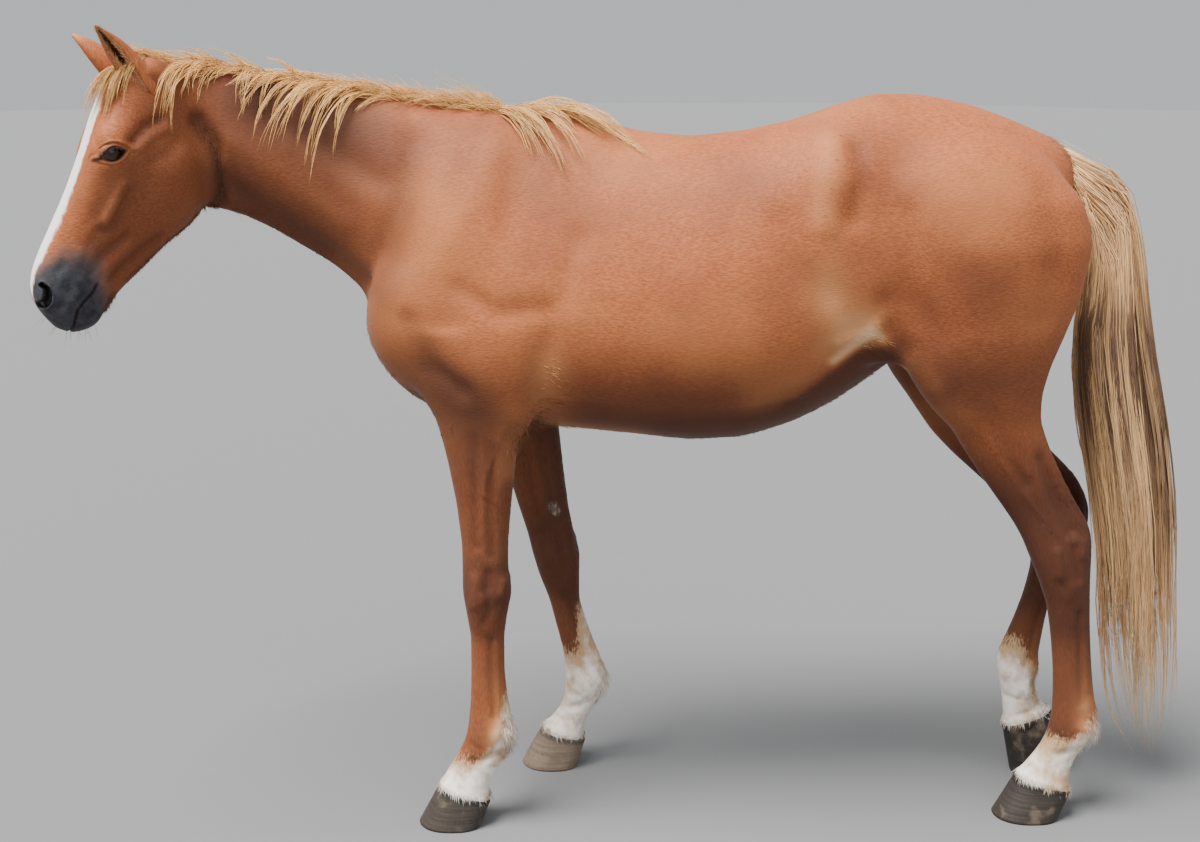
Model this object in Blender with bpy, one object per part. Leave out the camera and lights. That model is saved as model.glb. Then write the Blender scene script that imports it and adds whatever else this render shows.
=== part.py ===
"""A young chestnut riding horse standing at rest, life size, divided into its named parts.

The horse looks along -X, with its left side towards -Y and the floor at z = 0. Trunk, neck,
head and legs are lofted one by one, grown together into one body, and then parted by thin
cuts. Eyes, ears, hooves and hair are closed solids fitted against that body.
"""

import math

import bmesh
import bpy
import numpy as np
from mathutils import Matrix, Vector

# Driving sizes, in metres.
GAP = 0.0003  # clear space between parts that touch
FIT_GAP = 0.0005  # the same, where a part is fitted against a curved neighbour
GRAIN = 0.0115  # voxel in which the lofts grow together
BODY_FACES = 3500  # triangles kept in the whole body before it is parted
HAIR_DEPTH = 0.003  # coat over the skin
TRUNK_EASE = (0.78, 0.98)  # heights between which the joins of the masses are eased
RING = 32  # points round one section of the body
HAIR_POINTS = 12  # points round one section of the hair and the dock
LEFT, RIGHT = -1, 1  # the side of the middle plane, along Y

# The neck bends sideways, towards the horse's left, on one arc, and the head turns a little
# further the same way about an upright line through the poll.
BEND_START = -0.46
BEND_LENGTH = 0.38
BEND_ANGLE = math.radians(18)
HEAD_TURN = math.radians(12)
HEAD_PIVOT = -0.90

# The head hangs from the poll along this direction, in the plane of the straight neck.
POLL = (-0.955, 1.655)
HEAD_DOWN = (-0.40, -0.9165)

# Trunk: place along X, top line, belly line, half width, height of the widest place,
# roundness above it and below it (2 is an ellipse, less is more of a ridge).
TRUNK = (
    (-0.512, 1.150, 1.075, 0.045, 1.110, 2.2, 2.2),
    (-0.492, 1.240, 1.020, 0.120, 1.120, 2.2, 2.2),
    (-0.450, 1.360, 0.968, 0.165, 1.130, 2.2, 2.3),
    (-0.400, 1.460, 0.928, 0.188, 1.140, 2.1, 2.3),
    (-0.320, 1.530, 0.895, 0.203, 1.150, 1.8, 2.3),
    (-0.220, 1.562, 0.880, 0.212, 1.150, 1.55, 2.2),
    (-0.130, 1.570, 0.872, 0.220, 1.140, 1.50, 2.1),
    (-0.050, 1.562, 0.864, 0.232, 1.130, 1.60, 2.0),
    (0.080, 1.525, 0.851, 0.252, 1.130, 1.85, 2.0),
    (0.200, 1.513, 0.838, 0.268, 1.140, 2.0, 2.0),
    (0.320, 1.526, 0.845, 0.272, 1.160, 2.05, 2.0),
    (0.430, 1.550, 0.880, 0.262, 1.190, 2.4, 2.0),
    (0.520, 1.582, 0.927, 0.245, 1.230, 2.5, 2.0),
    (0.600, 1.606, 0.985, 0.230, 1.260, 2.2, 2.0),
    (0.700, 1.603, 1.060, 0.230, 1.290, 2.0, 2.1),
    (0.800, 1.583, 1.100, 0.220, 1.290, 2.0, 2.2),
    (0.880, 1.555, 1.130, 0.195, 1.300, 2.0, 2.2),
    (0.950, 1.526, 1.170, 0.155, 1.320, 2.0, 2.2),
    (1.000, 1.500, 1.240, 0.100, 1.360, 2.0, 2.2),
    (1.025, 1.470, 1.330, 0.050, 1.390, 2.0, 2.0),
)

# Neck: the same columns, in the plane of the straight neck.
NECK = (
    (-0.970, 1.655, 1.500, 0.050, 1.580, 2.0, 2.0),
    (-0.920, 1.668, 1.400, 0.058, 1.540, 1.8, 2.0),
    (-0.860, 1.666, 1.361, 0.062, 1.510, 1.6, 2.0),
    (-0.800, 1.658, 1.350, 0.066, 1.500, 1.5, 2.0),
    (-0.740, 1.648, 1.324, 0.070, 1.480, 1.5, 2.0),
    (-0.660, 1.636, 1.276, 0.076, 1.450, 1.5, 2.0),
    (-0.575, 1.623, 1.222, 0.086, 1.410, 1.5, 2.0),
    (-0.500, 1.608, 1.150, 0.102, 1.370, 1.5, 2.0),
    (-0.420, 1.592, 1.100, 0.132, 1.330, 1.5, 2.0),
    (-0.330, 1.578, 1.100, 0.165, 1.290, 1.5, 2.0),
    (-0.220, 1.566, 1.100, 0.185, 1.250, 1.5, 2.0),
)

# Head: place down from the poll, face line, jaw line, half width, depth of the widest place,
# roundness of the face side and of the jaw side.
HEAD = (
    (-0.020, 0.020, -0.060, 0.040, 0.000, 2.0, 2.0),
    (0.010, 0.052, -0.110, 0.060, 0.000, 2.1, 2.0),
    (0.050, 0.076, -0.145, 0.074, 0.000, 2.2, 2.0),
    (0.100, 0.084, -0.166, 0.088, 0.014, 2.3, 2.0),
    (0.150, 0.082, -0.187, 0.101, 0.026, 2.3, 2.1),
    (0.195, 0.078, -0.200, 0.105, 0.028, 2.3, 2.1),
    (0.240, 0.0745, -0.203, 0.095, 0.014, 2.3, 2.0),
    (0.285, 0.0745, -0.187, 0.082, 0.000, 2.2, 1.9),
    (0.335, 0.0765, -0.158, 0.070, -0.008, 2.0, 1.8),
    (0.390, 0.0785, -0.135, 0.060, -0.002, 2.0, 1.8),
    (0.440, 0.0805, -0.113, 0.054, 0.008, 2.0, 1.9),
    (0.480, 0.0790, -0.097, 0.053, 0.018, 2.1, 2.0),
    (0.515, 0.0710, -0.089, 0.056, 0.020, 2.2, 2.1),
    (0.540, 0.0560, -0.086, 0.054, 0.010, 2.2, 2.2),
    (0.558, 0.0350, -0.074, 0.045, -0.010, 2.2, 2.2),
    (0.573, 0.0060, -0.056, 0.029, -0.024, 2.0, 2.0),
    (0.579, -0.0120, -0.036, 0.010, -0.024, 2.0, 2.0),
)

# Legs: height, front edge, back edge, inner edge and outer edge measured from the middle
# plane, roundness in front and behind.
NEAR_FORE = (
    (0.020, -0.372, -0.256, 0.106, 0.196, 2.2, 2.2),
    (0.090, -0.353, -0.243, 0.106, 0.196, 2.2, 2.2),
    (0.117, -0.340, -0.231, 0.116, 0.186, 2.2, 2.1),
    (0.150, -0.320, -0.206, 0.118, 0.183, 2.2, 2.0),
    (0.180, -0.303, -0.192, 0.113, 0.188, 2.2, 2.0),
    (0.210, -0.294, -0.189, 0.112, 0.189, 2.2, 2.0),
    (0.240, -0.290, -0.193, 0.116, 0.185, 2.2, 2.0),
    (0.280, -0.286, -0.201, 0.122, 0.180, 2.2, 2.0),
    (0.350, -0.284, -0.208, 0.124, 0.178, 2.3, 2.0),
    (0.430, -0.284, -0.208, 0.120, 0.182, 2.3, 2.1),
    (0.475, -0.291, -0.202, 0.108, 0.193, 2.5, 2.2),
    (0.530, -0.300, -0.191, 0.103, 0.197, 2.6, 2.2),
    (0.575, -0.300, -0.198, 0.107, 0.193, 2.4, 2.1),
    (0.640, -0.301, -0.198, 0.109, 0.191, 2.2, 2.1),
    (0.730, -0.312, -0.190, 0.104, 0.193, 2.1, 2.1),
    (0.820, -0.329, -0.180, 0.096, 0.198, 2.1, 2.1),
    (0.910, -0.352, -0.170, 0.085, 0.203, 2.1, 2.1),
    (1.000, -0.405, -0.165, 0.065, 0.208, 2.1, 2.1),
    (1.100, -0.440, -0.180, 0.050, 0.205, 2.1, 2.1),
)
FAR_FORE = (
    (0.020, -0.170, -0.060, 0.106, 0.196, 2.2, 2.2),
    (0.090, -0.137, -0.038, 0.106, 0.196, 2.2, 2.2),
    (0.120, -0.111, -0.028, 0.116, 0.186, 2.2, 2.1),
    (0.150, -0.092, -0.008, 0.118, 0.183, 2.2, 2.0),
    (0.180, -0.084, 0.012, 0.113, 0.188, 2.2, 2.0),
    (0.210, -0.083, 0.019, 0.112, 0.189, 2.2, 2.0),
    (0.245, -0.085, 0.010, 0.116, 0.185, 2.2, 2.0),
    (0.285, -0.090, -0.006, 0.122, 0.180, 2.2, 2.0),
    (0.343, -0.105, -0.028, 0.124, 0.178, 2.3, 2.0),
    (0.410, -0.122, -0.048, 0.121, 0.181, 2.3, 2.1),
    (0.470, -0.145, -0.048, 0.108, 0.193, 2.5, 2.2),
    (0.525, -0.161, -0.047, 0.103, 0.197, 2.6, 2.2),
    (0.575, -0.173, -0.061, 0.107, 0.193, 2.4, 2.1),
    (0.640, -0.194, -0.074, 0.109, 0.191, 2.2, 2.1),
    (0.730, -0.221, -0.085, 0.104, 0.193, 2.1, 2.1),
    (0.820, -0.251, -0.094, 0.096, 0.198, 2.1, 2.1),
    (0.910, -0.290, -0.105, 0.085, 0.203, 2.1, 2.1),
    (1.000, -0.365, -0.125, 0.065, 0.208, 2.1, 2.1),
    (1.100, -0.430, -0.160, 0.050, 0.205, 2.1, 2.1),
)
NEAR_HIND = (
    (0.020, 0.912, 1.040, 0.077, 0.163, 2.2, 2.2),
    (0.093, 0.934, 1.052, 0.077, 0.163, 2.2, 2.2),
    (0.117, 0.951, 1.055, 0.086, 0.153, 2.2, 2.1),
    (0.145, 0.973, 1.067, 0.088, 0.151, 2.2, 2.0),
    (0.172, 0.990, 1.092, 0.084, 0.156, 2.2, 2.0),
    (0.205, 1.001, 1.109, 0.083, 0.157, 2.2, 2.0),
    (0.245, 1.006, 1.106, 0.087, 0.154, 2.2, 2.0),
    (0.290, 1.006, 1.097, 0.090, 0.151, 2.2, 2.0),
    (0.350, 1.003, 1.090, 0.091, 0.150, 2.2, 2.0),
    (0.430, 0.994, 1.083, 0.088, 0.152, 2.2, 2.0),
    (0.490, 0.984, 1.080, 0.082, 0.158, 2.3, 1.9),
    (0.550, 0.962, 1.078, 0.075, 0.165, 2.4, 1.8),
    (0.600, 0.941, 1.079, 0.074, 0.166, 2.4, 1.7),
    (0.640, 0.924, 1.078, 0.074, 0.164, 2.3, 1.6),
    (0.675, 0.904, 1.069, 0.074, 0.161, 2.2, 1.6),
    (0.720, 0.872, 1.040, 0.074, 0.160, 2.1, 1.6),
    (0.780, 0.828, 1.007, 0.073, 0.166, 2.1, 1.7),
    (0.850, 0.781, 0.972, 0.071, 0.180, 2.1, 1.9),
    (0.910, 0.742, 0.950, 0.069, 0.194, 2.1, 2.0),
    (0.970, 0.698, 0.949, 0.066, 0.213, 2.1, 2.1),
    (1.030, 0.652, 0.962, 0.060, 0.231, 2.1, 2.2),
    (1.090, 0.617, 0.985, 0.050, 0.244, 2.1, 2.2),
    (1.180, 0.592, 1.020, 0.035, 0.252, 2.1, 2.2),
    (1.290, 0.585, 1.039, 0.022, 0.250, 2.1, 2.3),
    (1.380, 0.600, 1.026, 0.020, 0.232, 2.1, 2.3),
    (1.460, 0.640, 0.985, 0.020, 0.190, 2.1, 2.2),
)
FAR_HIND = (
    (0.020, 0.962, 1.080, 0.057, 0.143, 2.2, 2.2),
    (0.100, 0.962, 1.070, 0.057, 0.143, 2.2, 2.2),
    (0.145, 0.960, 1.066, 0.064, 0.136, 2.2, 2.1),
    (0.180, 0.955, 1.040, 0.068, 0.132, 2.2, 2.0),
    (0.220, 0.949, 1.024, 0.064, 0.136, 2.2, 2.0),
    (0.255, 0.940, 1.042, 0.064, 0.137, 2.2, 2.0),
    (0.295, 0.940, 1.038, 0.067, 0.134, 2.2, 2.0),
    (0.335, 0.958, 1.044, 0.070, 0.131, 2.2, 2.0),
    (0.380, 0.976, 1.051, 0.071, 0.130, 2.2, 2.0),
    (0.440, 0.996, 1.062, 0.069, 0.131, 2.2, 2.0),
    (0.500, 1.010, 1.087, 0.063, 0.137, 2.3, 1.9),
    (0.550, 1.012, 1.118, 0.056, 0.144, 2.4, 1.8),
    (0.600, 0.998, 1.141, 0.055, 0.146, 2.4, 1.7),
    (0.645, 0.962, 1.143, 0.055, 0.145, 2.3, 1.6),
    (0.685, 0.922, 1.130, 0.055, 0.143, 2.2, 1.6),
    (0.730, 0.872, 1.104, 0.056, 0.144, 2.1, 1.6),
    (0.780, 0.816, 1.052, 0.058, 0.152, 2.1, 1.7),
    (0.830, 0.768, 1.005, 0.060, 0.166, 2.1, 1.9),
    (0.890, 0.727, 0.968, 0.062, 0.186, 2.1, 2.0),
    (0.960, 0.684, 0.952, 0.064, 0.209, 2.1, 2.1),
    (1.030, 0.645, 0.962, 0.060, 0.231, 2.1, 2.2),
    (1.090, 0.617, 0.985, 0.050, 0.244, 2.1, 2.2),
    (1.180, 0.592, 1.020, 0.035, 0.252, 2.1, 2.2),
    (1.290, 0.585, 1.039, 0.022, 0.250, 2.1, 2.3),
    (1.380, 0.600, 1.026, 0.020, 0.232, 2.1, 2.3),
    (1.460, 0.640, 0.985, 0.020, 0.190, 2.1, 2.2),
)

# Muscle masses that stand out of the lofts, on both sides: centre, half sizes and the
# angle by which the long axis leans forward from upright.
MASSES = {
    "point of shoulder": ((-0.395, 0.122, 1.130), (0.095, 0.070, 0.110), 0),
    "triceps": ((-0.215, 0.160, 1.050), (0.120, 0.055, 0.130), -20),
    "elbow": ((-0.185, 0.160, 0.935), (0.040, 0.035, 0.060), 0),
    "hip point": ((0.500, 0.160, 1.420), (0.090, 0.070, 0.070), 0),
    "thigh": ((0.780, 0.150, 1.310), (0.215, 0.108, 0.190), 0),
    "stifle": ((0.735, 0.158, 1.010), (0.060, 0.052, 0.120), 30),
    "flank fold": ((0.620, 0.170, 1.115), (0.085, 0.036, 0.075), 0),
}

# Head furniture, each as down from the poll, sideways and to the front.
BROW_AT, BROW_RADIUS = (0.172, 0.082, 0.050), 0.024
EYE_AT, EYE_RADIUS = (0.203, 0.087, 0.037), 0.021
EARS = {
    "ear_left": ((0.052, -0.052, 0.006), (-0.027, -0.064, 0.151)),
    "ear_right": ((0.056, 0.052, 0.012), (-0.008, 0.064, 0.163)),
}
EAR_OPENING = math.radians(40)  # how far the opening faces outward from straight ahead
EAR_WRAP = 1.95  # half the arc of the crescent, in radians
EAR_CURVE = 0.008  # the ear bows backwards by this much
EAR_RINGS, EAR_POINTS = 7, 10
# Ear: share of its length, half width, depth of the cup, thickness of the wall.
EAR = (
    (0.00, 0.024, 0.024, 0.0200),
    (0.18, 0.029, 0.026, 0.0120),
    (0.38, 0.032, 0.023, 0.0075),
    (0.58, 0.029, 0.017, 0.0065),
    (0.78, 0.020, 0.011, 0.0055),
    (0.92, 0.010, 0.006, 0.0040),
    (1.00, 0.004, 0.003, 0.0025),
)

# Hooves, in the XZ plane: toe and heel on the sole, toe and heel at the coronet; then the
# place along Y, and the half widths at the sole and at the coronet. The right hind rests on
# its toe, which sinks a little below the floor and is cut flat there.
HOOVES = {
    "left_fore": ((-0.402, 0.0), (-0.262, 0.0), (-0.357, 0.089), (-0.238, 0.056), -0.151, (0.064, 0.048)),
    "right_fore": ((-0.188, 0.0), (-0.054, 0.0), (-0.142, 0.091), (-0.032, 0.064), 0.151, (0.064, 0.048)),
    "left_hind": ((0.882, 0.0), (1.022, 0.0), (0.930, 0.094), (1.057, 0.064), -0.120, (0.060, 0.046)),
    "right_hind": ((0.984, -0.005), (1.086, 0.062), (0.957, 0.118), (1.073, 0.162), 0.100, (0.060, 0.046)),
}
TOE_ROUND, HEEL_ROUND = 2.1, 3.0
HOOF_POINTS = 20

# Where each leg is parted, from the top down: above and below the knee or hock, and above
# the fetlock. A box takes each leg off the trunk first.
LEG_CUTS = {
    "left_fore": (0.605, 0.450, 0.262),
    "right_fore": (0.605, 0.450, 0.268),
    "left_hind": (0.735, 0.520, 0.285),
    "right_hind": (0.755, 0.520, 0.318),
}
LEG_BOXES = {
    "left_fore": ((-0.50, -0.30, -0.10), (-0.02, -0.03, 0.850)),
    "right_fore": ((-0.50, 0.03, -0.10), (0.06, 0.30, 0.845)),
    "left_hind": ((0.61, -0.32, -0.10), (1.25, -0.01, 0.962)),
    "right_hind": ((0.61, 0.01, -0.10), (1.25, 0.32, 0.962)),
}
LEG_PARTS = {
    "fore": ("forearm", "knee", "cannon", "pastern"),
    "hind": ("gaskin", "hock", "cannon", "pastern"),
}

# Where the body is parted: a point of each plane and the way it faces, which is the side
# of the new part.
FOREHAND_CUT = ((-0.10, 0, 1.2), (-1, 0, 0))
HINDQUARTERS_CUT = ((0.52, 0, 1.2), (1, 0, 0))
NECK_CUT = ((-0.20, 0, 1.60), (-0.821, 0, 0.571))
HEAD_CUT = ((-0.862, 0, 1.52), (-0.963, 0, -0.269))
MUZZLE_DOWN = 0.43

# Dock: the fleshy root of the tail.
DOCK_START, DOCK_END = (0.980, 0, 1.478), (1.108, 0, 1.215)
DOCK_ARCH = 0.030
DOCK_RADII = (0.036, 0.017)
DOCK_TILT = (0.905, 0.426)  # the slope of its sections

# Tail hair: height, front edge, back edge and half width.
TAIL = (
    (0.085, 1.262, 1.300, 0.010),
    (0.130, 1.220, 1.322, 0.022),
    (0.210, 1.180, 1.330, 0.036),
    (0.340, 1.150, 1.324, 0.050),
    (0.460, 1.143, 1.308, 0.060),
    (0.600, 1.130, 1.300, 0.068),
    (0.740, 1.106, 1.288, 0.073),
    (0.850, 1.082, 1.273, 0.073),
    (0.970, 1.062, 1.249, 0.070),
    (1.080, 1.056, 1.226, 0.065),
    (1.200, 1.072, 1.205, 0.056),
    (1.330, 1.072, 1.166, 0.044),
    (1.420, 1.052, 1.120, 0.034),
    (1.475, 1.020, 1.078, 0.022),
)

# Mane: place along the straight neck, how far it lies down the left and the right side as
# an angle from the crest in degrees, and its thickness.
MANE = (
    (-0.945, 40, 40, 0.011),
    (-0.880, 58, 50, 0.014),
    (-0.800, 50, 52, 0.014),
    (-0.700, 62, 52, 0.014),
    (-0.600, 60, 52, 0.014),
    (-0.500, 42, 52, 0.013),
    (-0.400, 36, 50, 0.013),
    (-0.300, 36, 48, 0.013),
    (-0.220, 34, 36, 0.011),
    (-0.140, 16, 18, 0.005),
)

MANE_POINTS = 7
MANE_ROOT = 0.93  # the inner face lies this far out in the neck, which is then cut out of it

# Forelock: down from the poll, height over the head's axis, half width, half thickness.
FORELOCK = (
    (-0.012, 0.030, 0.016, 0.010),
    (0.025, 0.066, 0.028, 0.014),
    (0.055, 0.080, 0.032, 0.014),
    (0.090, 0.085, 0.030, 0.010),
    (0.120, 0.084, 0.022, 0.008),
    (0.142, 0.081, 0.010, 0.006),
)

# Finishes: colour and roughness.
CHESTNUT = (0.33, 0.125, 0.055), 0.55
DARK_MUZZLE = (0.075, 0.058, 0.055), 0.6
WHITE_SOCK = (0.62, 0.54, 0.48), 0.6
FLAXEN = (0.56, 0.35, 0.17), 0.6
HORN = (0.085, 0.065, 0.052), 0.5
EYE_BROWN = (0.02, 0.011, 0.008), 0.08


def soften(rows, places, width):
    """The rows' columns at the places, by straight steps averaged under a bell curve."""
    table = np.array(rows, float)
    steps = np.linspace(-2.0, 2.0, 17)
    weights = np.exp(-0.5 * steps**2)
    weights /= weights.sum()
    spread = np.asarray(places)[:, None] + width * steps
    columns = [np.interp(spread, table[:, 0], column) @ weights for column in table[:, 1:].T]
    return np.stack(columns, axis=1)


def rounded(angle, above, below):
    """Across and up for a section that is rounder or sharper above and below its middle."""
    across, up = np.cos(angle), np.sin(angle)
    power = np.where(up >= 0, above, below)
    size = (np.abs(across) ** power + np.abs(up) ** power) ** (-1 / power)
    return across * size, up * size


def bend(points):
    """Carries points of the straight neck round its sideways arc."""
    place, side, height = points[..., 0], points[..., 1], points[..., 2]
    radius = BEND_LENGTH / BEND_ANGLE
    angle = np.clip((BEND_START - place) / radius, 0, BEND_ANGLE)
    beyond = np.clip(BEND_START - BEND_LENGTH - place, 0, None)
    x = np.maximum(place, BEND_START) - (radius + side) * np.sin(angle) - beyond * np.cos(angle)
    y = side * np.cos(angle) - radius * (1 - np.cos(angle)) - beyond * np.sin(angle)
    return np.stack([x, y, height], axis=-1)


def turn_head(points):
    """Turns points of the straight head about the poll, then carries them with the neck."""
    reach, side, height = points[..., 0] - HEAD_PIVOT, points[..., 1], points[..., 2]
    cosine, sine = math.cos(HEAD_TURN), math.sin(HEAD_TURN)
    x = HEAD_PIVOT + reach * cosine - side * sine
    return bend(np.stack([x, reach * sine + side * cosine, height], axis=-1))


def level_sections(rows, spacing, width):
    """Rings of the trunk or neck: upright sections one after another along X."""
    places = np.arange(rows[0][0], rows[-1][0] + spacing / 2, spacing)
    columns = soften(rows, places, width)[:, :, None]
    top, bottom, half, middle, above, below = np.moveaxis(columns, 1, 0)
    angle = np.linspace(0, 2 * np.pi, RING, endpoint=False)[None]
    across, up = rounded(angle, above, below)
    height = middle + up * np.where(up > 0, top - middle, middle - bottom)
    return np.stack([places[:, None] + 0 * height, half * across, height], axis=-1)


def head_place(down, side, front):
    """The place of a point on the head, given down from the poll, sideways and to the front."""
    x = POLL[0] + HEAD_DOWN[0] * down + HEAD_DOWN[1] * front
    z = POLL[1] + HEAD_DOWN[1] * down - HEAD_DOWN[0] * front
    return turn_head(np.stack(np.broadcast_arrays(x, side, z), axis=-1))


def head_sections(rows, spacing, width):
    """Rings of the head: sections square to the line from poll to muzzle."""
    flat = level_sections(rows, spacing, width)
    return head_place(flat[..., 0], flat[..., 1], flat[..., 2])


def leg_sections(rows, side, spacing, width):
    """Rings of a leg: level sections from the hoof up; side is -1 for the left legs."""
    places = np.arange(rows[0][0], rows[-1][0] + spacing / 2, spacing)
    columns = soften(rows, places, width)[:, :, None]
    front, back, inner, outer, ahead, behind = np.moveaxis(columns, 1, 0)
    angle = np.linspace(0, 2 * np.pi, RING, endpoint=False)[None]
    across, forward = rounded(angle, ahead, behind)
    x = (front + back) / 2 - forward * (back - front) / 2
    y = side * ((inner + outer) / 2 + across * (outer - inner) / 2)
    return np.stack([x, y, places[:, None] + 0 * x], axis=-1)


def loft(name, rings):
    """A closed mesh through the rings, with a flat cap on each end."""
    count, around = rings.shape[:2]
    mesh = bmesh.new()
    points = [mesh.verts.new(point) for point in rings.reshape(-1, 3)]
    for row in range(count - 1):
        for step in range(around):
            after = (step + 1) % around
            corners = (row, step), (row, after), (row + 1, after), (row + 1, step)
            mesh.faces.new([points[r * around + s] for r, s in corners])
    mesh.faces.new(points[:around])
    mesh.faces.new(points[-around:])
    bmesh.ops.recalc_face_normals(mesh, faces=mesh.faces)
    return finished(name, mesh)


def finished(name, mesh):
    """Makes a scene object of a bmesh."""
    data = bpy.data.meshes.new(name)
    mesh.to_mesh(data)
    mesh.free()
    made = bpy.data.objects.new(name, data)
    bpy.context.scene.collection.objects.link(made)
    return made


def ellipsoid(name, centre, sizes, lean, side):
    """A round mass whose long axis leans forward by lean degrees."""
    mesh = bmesh.new()
    bmesh.ops.create_uvsphere(mesh, u_segments=20, v_segments=12, radius=1)
    place = Vector((centre[0], side * centre[1], centre[2]))
    turn = Matrix.Rotation(math.radians(-lean), 4, "Y")
    bmesh.ops.transform(
        mesh, matrix=Matrix.Translation(place) @ turn @ Matrix.Diagonal((*sizes, 1)), verts=mesh.verts
    )
    return finished(name, mesh)


def apply_modifiers(made):
    """Replaces the object's mesh with what its modifiers make of it."""
    graph = bpy.context.evaluated_depsgraph_get()
    mesh = bpy.data.meshes.new_from_object(made.evaluated_get(graph))
    made.modifiers.clear()
    made.data = mesh
    return made


def discard(made):
    bpy.data.objects.remove(made)


def duplicate(made, name):
    copy = bpy.data.objects.new(name, made.data.copy())
    bpy.context.scene.collection.objects.link(copy)
    return copy


def ease(body, iterations, where):
    """Smooths the body as much as where says, from 0 to 1 at each of its points."""
    group = body.vertex_groups.new(name="ease")
    for point in body.data.vertices:
        group.add([point.index], where(point.co), "REPLACE")
    smooth = body.modifiers.new("ease", "SMOOTH")
    smooth.factor = 0.5
    smooth.iterations = iterations
    smooth.vertex_group = group.name
    apply_modifiers(body)
    body.vertex_groups.clear()


def on_trunk(place):
    """1 on the trunk and the base of the neck, 0 on the head and down the legs."""
    above = min(max((place.z - TRUNK_EASE[0]) / (TRUNK_EASE[1] - TRUNK_EASE[0]), 0), 1)
    return above * min(max((place.x - HEAD_PIVOT) / (BEND_START - HEAD_PIVOT), 0), 1)


def grow_together(pieces):
    """One skin round all the pieces: a voxel remesh, smoothed and thinned out."""
    joined = bmesh.new()
    for piece in pieces:
        joined.from_mesh(piece.data)
        discard(piece)
    body = finished("body", joined)
    remesh = body.modifiers.new("grow together", "REMESH")
    remesh.mode = "VOXEL"
    remesh.voxel_size = GRAIN
    apply_modifiers(body)
    ease(body, 30, on_trunk)
    ease(body, 3, lambda place: 1)
    swell = body.modifiers.new("coat", "DISPLACE")
    swell.mid_level = 0
    swell.strength = HAIR_DEPTH
    apply_modifiers(body)
    faces = sum(len(face.vertices) - 2 for face in body.data.polygons)
    thin = body.modifiers.new("thin out", "DECIMATE")
    thin.ratio = BODY_FACES / faces
    return apply_modifiers(body)


def combine(made, other, operation, solver="EXACT"):
    """Applies one Boolean."""
    cut = made.modifiers.new(operation.lower(), "BOOLEAN")
    cut.operation = operation
    cut.object = other
    cut.solver = solver
    return apply_modifiers(made)


def grown(made, amount):
    """A helper copy whose surface stands off by the amount."""
    copy = duplicate(made, made.name + "_grown")
    swell = copy.modifiers.new("stand off", "DISPLACE")
    swell.mid_level = 0
    swell.strength = amount
    return apply_modifiers(copy)


def fit_against(made, others):
    """Cuts the neighbours out of a part, with the gap between."""
    for other in others:
        cutter = grown(other, FIT_GAP)
        combine(made, cutter, "DIFFERENCE", "MANIFOLD")
        discard(cutter)
    return made


def box(low, high):
    mesh = bmesh.new()
    bmesh.ops.create_cube(mesh, size=1)
    low, high = Vector(low), Vector(high)
    matrix = Matrix.Translation((low + high) / 2) @ Matrix.Diagonal((*(high - low), 1))
    bmesh.ops.transform(mesh, matrix=matrix, verts=mesh.verts)
    return finished("box", mesh)


def keep_side(made, point, normal):
    """Cuts the part along a plane, keeps the side that the normal leaves, and closes it."""
    mesh = bmesh.new()
    mesh.from_mesh(made.data)
    geometry = mesh.verts[:] + mesh.edges[:] + mesh.faces[:]
    cut = bmesh.ops.bisect_plane(
        mesh, geom=geometry, dist=1e-6, plane_co=point, plane_no=normal, clear_outer=True
    )
    edges = [part for part in cut["geom_cut"] if isinstance(part, bmesh.types.BMEdge)]
    bmesh.ops.holes_fill(mesh, edges=edges, sides=0)
    bmesh.ops.recalc_face_normals(mesh, faces=mesh.faces)
    if mesh.calc_volume(signed=True) < 0:
        bmesh.ops.reverse_faces(mesh, faces=mesh.faces)
    mesh.to_mesh(made.data)
    mesh.free()
    return made


def slice_off(made, name, point, normal):
    """Splits off, as a new part, what lies on the normal's side of the plane."""
    point, normal = Vector(point), Vector(normal).normalized()
    piece = duplicate(made, name)
    keep_side(made, point - normal * GAP / 2, normal)
    keep_side(piece, point + normal * GAP / 2, -normal)
    return piece


def take_from(body, name, low, high):
    """Splits off, as a new part, what lies in a box that reaches past the part all round."""
    piece = duplicate(body, name)
    inside = box(low, high)
    combine(piece, inside, "INTERSECT")
    wider = box(low, Vector(high) + Vector((0, 0, GAP)))
    combine(body, wider, "DIFFERENCE")
    discard(inside)
    discard(wider)
    return piece


def clear_scene():
    for old in list(bpy.data.objects):
        bpy.data.objects.remove(old)


def colour(made, shade, roughness):
    """Gives a part its own plain finish."""
    finish = bpy.data.materials.new(made.name)
    finish.use_nodes = True
    shader = finish.node_tree.nodes["Principled BSDF"]
    shader.inputs["Base Color"].default_value = (*shade, 1)
    shader.inputs["Roughness"].default_value = roughness
    shader.inputs["Metallic"].default_value = 0
    made.data.materials.clear()
    made.data.materials.append(finish)
    made.data.shade_smooth()
    made.data.set_sharp_from_angle(angle=math.radians(50))


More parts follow.
